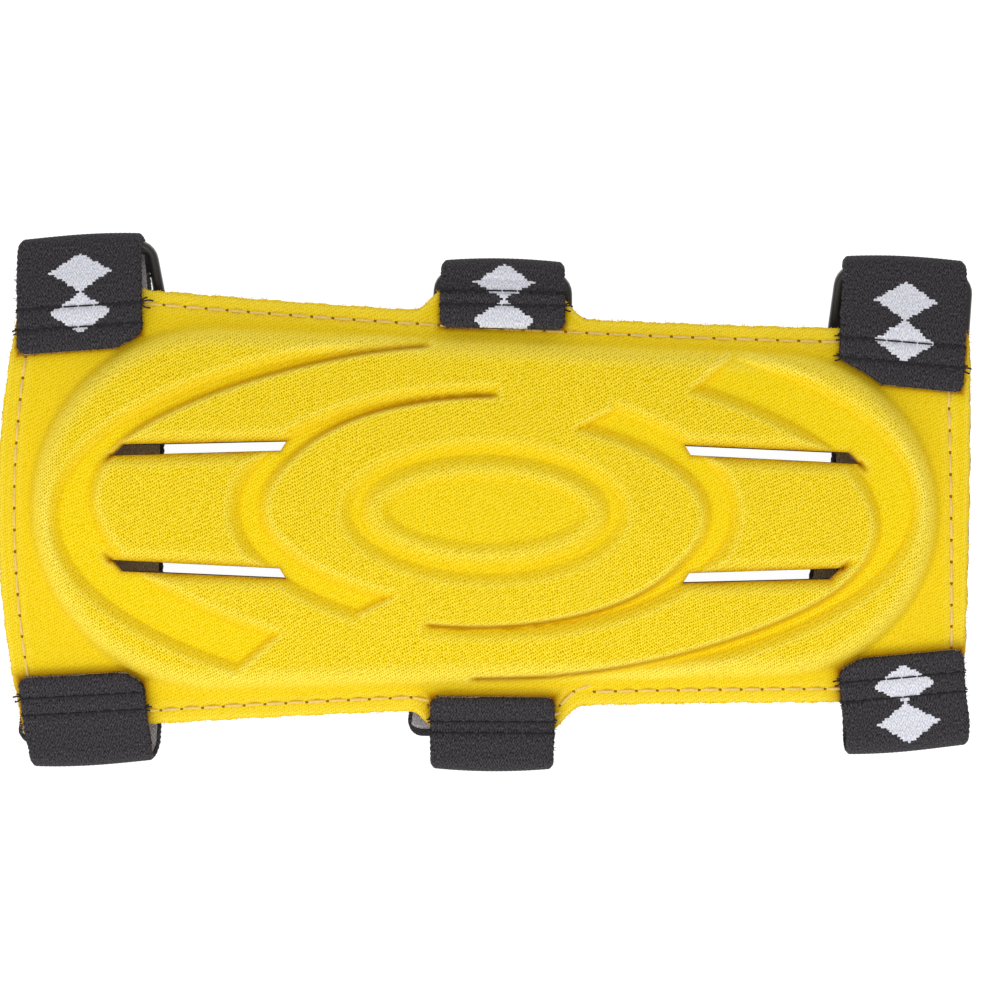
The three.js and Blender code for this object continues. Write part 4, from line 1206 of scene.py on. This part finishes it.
def knitted_elastic(name, motif_start):
    """The elastic's material. motif_start is where the white pattern starts along the band, in mm."""
    material, tree, shader = new_material(name, {"Roughness": 0.95, "Specular IOR Level": 0.25})
    place = add_node(tree, "ShaderNodeAttribute", attribute_name="weave").outputs["Vector"]
    weave = add_node(tree, "ShaderNodeSeparateXYZ", {"Vector": place}).outputs
    spot = add_node(tree, "ShaderNodeTexCoord").outputs["Object"]
    spot = add_node(tree, "ShaderNodeSeparateXYZ", {"Vector": spot}).outputs
    stretched = add_node(tree, "ShaderNodeVectorMath", {0: place, 1: (3.4, 2.0, 1)}, operation="MULTIPLY")
    fibres = add_node(tree, "ShaderNodeTexNoise", {"Vector": stretched, "Scale": 1, "Detail": 3})
    made = {"fibres": fibres, "spot_y": spot["Y"]}
    made |= {"across": weave["X"], "along": weave["Y"], "side": weave["Z"]}
    for step, operation, *inputs in (
        ("ragged", "MULTIPLY_ADD", "fibres", 0.9, "across"),
        ("centred", "SUBTRACT", "ragged", 0.45),
        ("cell_x", "SNAP", "centred", CELL_ACROSS),
        ("from_start", "SUBTRACT", "along", motif_start),
        ("cell_y", "SNAP", "from_start", CELL_ALONG),
        ("in_period", "FLOORED_MODULO", "cell_y", MOTIF_PERIOD),
        ("in_group", "LESS_THAN", "in_period", LOZENGES * LOZENGE_ALONG),
        ("from_tip", "PINGPONG", "in_period", LOZENGE_ALONG / 2),
        ("half", "MULTIPLY", "from_tip", 2 / LOZENGE_ALONG),
        ("off_line", "ABSOLUTE", "cell_x"),
        ("flank", "MULTIPLY", "off_line", 1 / LOZENGE_ACROSS),
        ("in_lozenge", "LESS_THAN", "flank", "half"),
        ("motif", "MULTIPLY", "in_group", "in_lozenge"),
        ("turn_x", "MULTIPLY", "across", 2 * math.pi / CELL_ACROSS),
        ("wave_x", "COSINE", "turn_x"),
        ("turn_y", "MULTIPLY", "along", math.pi / CELL_ALONG),
        ("wave_y", "COSINE", "turn_y"),
        ("crossed", "MULTIPLY", "wave_x", "wave_y"),
        ("lattice", "MULTIPLY", "crossed", 0.4),
        ("stitch", "MULTIPLY_ADD", "fibres", 5.0, "lattice"),
        ("from_middle", "ABSOLUTE", "spot_y"),
        ("is_back", "GREATER_THAN", "side", 0.75),
        ("from_line", "ABSOLUTE", "across"),
        ("in_selvedges", "LESS_THAN", "from_line", SELVEDGE),
        ("shows_reverse", "MULTIPLY", "is_back", "in_selvedges"),
    ):
        values = [made.get(value, value) for value in inputs]
        made[step] = add_node(tree, "ShaderNodeMath", dict(enumerate(values)), operation=operation)
    speck = add_node(tree, "ShaderNodeMapRange", {"Value": made["stitch"], "From Min": 1.7, "From Max": 3.7})
    stray = add_node(
        tree, "ShaderNodeMapRange", {"Value": fibres, "From Min": 0.64, "From Max": 0.78, "To Max": 0.35}
    )
    # Painted bounce light: the reverse turns brown where the band lies under the middle of the pad.
    painted_bounce_share = add_node(
        tree, "ShaderNodeMapRange", {"Value": made["from_middle"], "From Min": 24 * MM, "From Max": 17 * MM}
    )
    shades = {}
    for shade, share, first, second in (
        ("black_yarn", speck, "161516", "524E53"),
        ("black", stray, "black_yarn", "827E86"),
        ("white", speck, "BEC0D2", "FFFFFF"),
        ("grey", speck, "8A8588", "D2CCCF"),
        ("painted_bounce_brown", speck, "BE9868", "F6D6A6"),
        ("grey_in_painted_bounce", painted_bounce_share, "grey", "painted_bounce_brown"),
        ("face", made["motif"], "black", "white"),
        ("reverse", made["motif"], "grey_in_painted_bounce", "black"),
        ("elastic", made["shows_reverse"], "face", "reverse"),
    ):
        ends = {"A": shades.get(first, first), "B": shades.get(second, second)}
        shades[shade] = add_node(tree, "ShaderNodeMix", {"Factor": share, **ends}, data_type="RGBA")
    bump = add_node(tree, "ShaderNodeBump", {"Height": made["stitch"], "Strength": 0.6, "Distance": 0.1 * MM})
    join(tree, shader, shades["elastic"], bump)
    return material


def cord_tree():
    """Geometry nodes that make a round thread along a path."""
    sockets = {"Path": "Geometry", "Diameter": "Float", "Thread": "Material"}
    tree, given = new_tree("Thread end", sockets)
    path = add_node(tree, "GeometryNodeMeshToCurve", {"Mesh": given["Path"]})
    radius = add_node(tree, "ShaderNodeMath", {0: given["Diameter"], 1: 0.5}, operation="MULTIPLY")
    section = add_node(tree, "GeometryNodeCurvePrimitiveCircle", {"Resolution": 6, "Radius": radius})
    made = add_node(
        tree, "GeometryNodeCurveToMesh", {"Curve": path, "Profile Curve": section, "Fill Caps": True}
    )
    dyed = add_node(tree, "GeometryNodeSetMaterial", {"Geometry": made, "Material": given["Thread"]})
    add_node(tree, "NodeGroupOutput", {"Made": dyed})
    return tree


seam_paths, loose_ends, rims = [], [], []
for name, strap in STRAPS.items():
    bands = [
        ("loop_" + name, strap["loop"], loop_rows(strap), 1),
        ("strap_" + name, strap["front"], strap_rows(strap), -1),
    ]
    for node, band, rows, outwards in bands:
        mesh, paths, thread_ends, rim = weave_band(rows, outwards, band["seams"])
        mesh.materials.append(knitted_elastic("knitted_elastic_" + node, band["motif"]))
        mesh.shade_smooth()
        elastic = new_piece("elastic_" + node, mesh)
        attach(elastic, "root")
        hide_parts(node)
        seam_paths += paths
        loose_ends += thread_ends
        rims.append(rim)

# Painted shadow beside the hems: the knit is drawn brown near each hem's end and sides, fading away from it.
painted_hem_shadow = np.zeros(len(spots))
for strap in STRAPS.values():
    for band, outwards, reach in (("loop", 1, LOOP_SHADOW_REACH), ("front", -1, STRAP_SHADOW_REACH)):
        hem_x, hem_y, turn = strap[band]["hem"]
        cosine, sine = math.cos(math.radians(turn)), math.sin(math.radians(turn))
        off_x, off_y = spots[:, 0] - hem_x, spots[:, 1] - hem_y
        aside = np.abs(off_x * cosine + off_y * sine) - STRAP_WIDTH / 2
        inwards = outwards * (off_x * sine - off_y * cosine)
        gap = np.maximum.reduce([aside, inwards, dome_inset(spots[:, 0], spots[:, 1]) + GAP])
        painted_hem_shadow = np.maximum(painted_hem_shadow, HEM_SHADOW_SHARE * np.exp(-np.clip(gap, 0, None) / reach))
pad.data.attributes.new("painted_hem_shadow", "FLOAT", "POINT").data.foreach_set("value", painted_hem_shadow)

hem_seams = run_tree(
    "hem_seams",
    seam_paths,
    lockstitch,
    {"Stitch": SEAM_STITCH * MM, "Diameter": SEAM_THREAD * MM, "Thread": black_thread, "Hole": black_thread},
)
hem_thread_ends = run_tree(
    "hem_thread_ends", loose_ends, cord_tree(), {"Diameter": SEAM_THREAD * MM, "Thread": black_thread}
)
hem_fuzz = run_tree(
    "hem_fuzz",
    rims,
    fray,
    {"Spacing": 0.32 * MM, "Length": 0.5 * MM, "Diameter": 0.1 * MM, "Fibre": black_thread},
)
for trim in (hem_seams, hem_thread_ends, hem_fuzz):
    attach(trim, "root")

# Slide buckles: moulded acetal frames with two windows, black. The top bar hangs in the loop's fold and the
# strap turns round the lower bar, so only the ends of the side bars show from above.

BUCKLE_WIDTH = 29.2
BUCKLE_WINDOW = 24.6
BUCKLE_CORNER = 4.2
BUCKLE_TAPER = 0.06
WINDOW_CORNER = 0.8
BUCKLE_ROUND = 0.95

# Acetal, injection moulded: black, half gloss, with a faint grain from the mould.
acetal = fine_grained(
    "moulded_acetal", {"IOR": 1.48, "Roughness": 0.34}, 0.5, ("191716", "322E2C"), 0.15, detail=3
)


def rounded_rectangle(curve, left, bottom, width, height, corner):
    """Adds a closed line with round corners to a flat curve."""
    points = []
    centres = ((width - corner, corner, -90), (width - corner, height - corner, 0))
    centres += ((corner, height - corner, 90), (corner, corner, 180))
    for x, y, start in centres:
        for angle in np.radians(np.linspace(start, start + 90, 7)):
            points.append((left + x + corner * math.cos(angle), bottom + y + corner * math.sin(angle)))
    line = curve.splines.new("POLY")
    line.points.add(len(points) - 1)
    for point, (x, y) in zip(line.points, points):
        point.co = (x * MM, y * MM, 0, 1)
    line.use_cyclic_u = True


for name, strap in STRAPS.items():
    curve = bpy.data.curves.new("buckle_frame", "CURVE")
    curve.dimensions = "2D"
    curve.fill_mode = "BOTH"
    curve.extrude = (BUCKLE_THICKNESS / 2 - BUCKLE_ROUND) * MM
    curve.bevel_depth = BUCKLE_ROUND * MM
    curve.bevel_resolution = 4
    curve.offset = -BUCKLE_ROUND * MM
    top_line = BUCKLE_BAR / 2
    bottom_line = top_line - BUCKLE_UPPER - BUCKLE_LOWER - 3 * BUCKLE_BAR
    rounded_rectangle(
        curve, -BUCKLE_WIDTH / 2, bottom_line, BUCKLE_WIDTH, top_line - bottom_line, BUCKLE_CORNER
    )
    for low, height in ((-top_line - BUCKLE_UPPER, BUCKLE_UPPER), (bottom_line + BUCKLE_BAR, BUCKLE_LOWER)):
        rounded_rectangle(curve, -BUCKLE_WINDOW / 2, low, BUCKLE_WINDOW, height, WINDOW_CORNER)
    drawn = new_piece("buckle_line", curve)
    mesh = bpy.data.meshes.new_from_object(drawn.evaluated_get(bpy.context.evaluated_depsgraph_get()))
    bpy.data.objects.remove(drawn)
    for vertex in mesh.vertices:
        up = (vertex.co.y / MM - bottom_line) / (top_line - bottom_line)
        vertex.co.x *= 1 - BUCKLE_TAPER * up
    turn = Matrix.Rotation(math.radians(strap["buckle"][1]), 4, "Z")
    tilt = Matrix.Rotation(BUCKLE_TILT, 4, "X")
    seat = Matrix.Translation(Vector(in_frame(buckle_bars(strap)[0])))
    mesh.transform(seat @ turn @ tilt)
    mesh.materials.clear()
    mesh.materials.append(acetal)
    mesh.shade_smooth()
    buckle = new_piece("slide_buckle_" + name, mesh)
    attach(buckle, "root")
    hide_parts("buckle_" + name)

# Studio: the guard lies on a white light table, under an even fill and a long soft box at the near side, a
# little to the left, and the camera looks straight down on it.

TABLE_HALF = 3.0
TABLE_DROP = 0.0001
TABLE_GLOW = 0.95
FILL_STRENGTH = 0.54

# Opal acrylic sheet, lit from below: white, without shine.
opal, tree, shader = new_material("opal_acrylic", {"Roughness": 1.0, "Specular IOR Level": 0.0})
shader.inputs["Base Color"].default_value = linear("9A9A9A")
shader.inputs["Emission Color"].default_value = linear("FFFFFF")
shader.inputs["Emission Strength"].default_value = TABLE_GLOW

mesh = bpy.data.meshes.new("light_table")
corners = [(-1, -1), (1, -1), (1, 1), (-1, 1)]
mesh.from_pydata([(x * TABLE_HALF, y * TABLE_HALF, -TABLE_DROP) for x, y in corners], [], [(0, 1, 2, 3)])
mesh.materials.append(opal)
table = new_piece("light_table", mesh)

for name, place, width, depth, power in (
    ("soft_box", (-0.3, -0.97, 0.78), 2.0, 0.4, 8.0),
    ("overhead", (0, 0.1, 1.5), 1.2, 1.2, 7.5),
):
    light = bpy.data.lights.new(name, "AREA")
    light.shape = "RECTANGLE"
    light.size = width
    light.size_y = depth
    light.energy = power
    lamp = bpy.data.objects.new(name, light)
    lamp.location = place
    lamp.rotation_euler = (-Vector(place)).to_track_quat("-Z", "Y").to_euler()
    bpy.context.collection.objects.link(lamp)

world = bpy.data.worlds.new("studio")
world.use_nodes = True
fill = world.node_tree.nodes["Background"]
fill.inputs["Color"].default_value = linear("FFFFFF")
fill.inputs["Strength"].default_value = FILL_STRENGTH
bpy.context.scene.world = world
bpy.context.scene.view_settings.view_transform = "Standard"

CAMERA_X = 2.58
CAMERA_Y = 0.98
CAMERA_HEIGHT = 810.0
CAMERA_TURN = 0.65
FRAME_WIDTH = 200.0
FRAME_LEVEL = 10.0
SENSOR_WIDTH = 36.0

camera = bpy.data.cameras.new("camera")
camera.sensor_width = SENSOR_WIDTH
camera.lens = SENSOR_WIDTH * (CAMERA_HEIGHT - FRAME_LEVEL) / FRAME_WIDTH
camera_object = bpy.data.objects.new("camera", camera)
camera_object.location = Vector((CAMERA_X, CAMERA_Y, CAMERA_HEIGHT)) * MM
camera_object.rotation_euler = Euler((0, 0, math.radians(CAMERA_TURN)))
bpy.context.collection.objects.link(camera_object)
bpy.context.scene.camera = camera_object
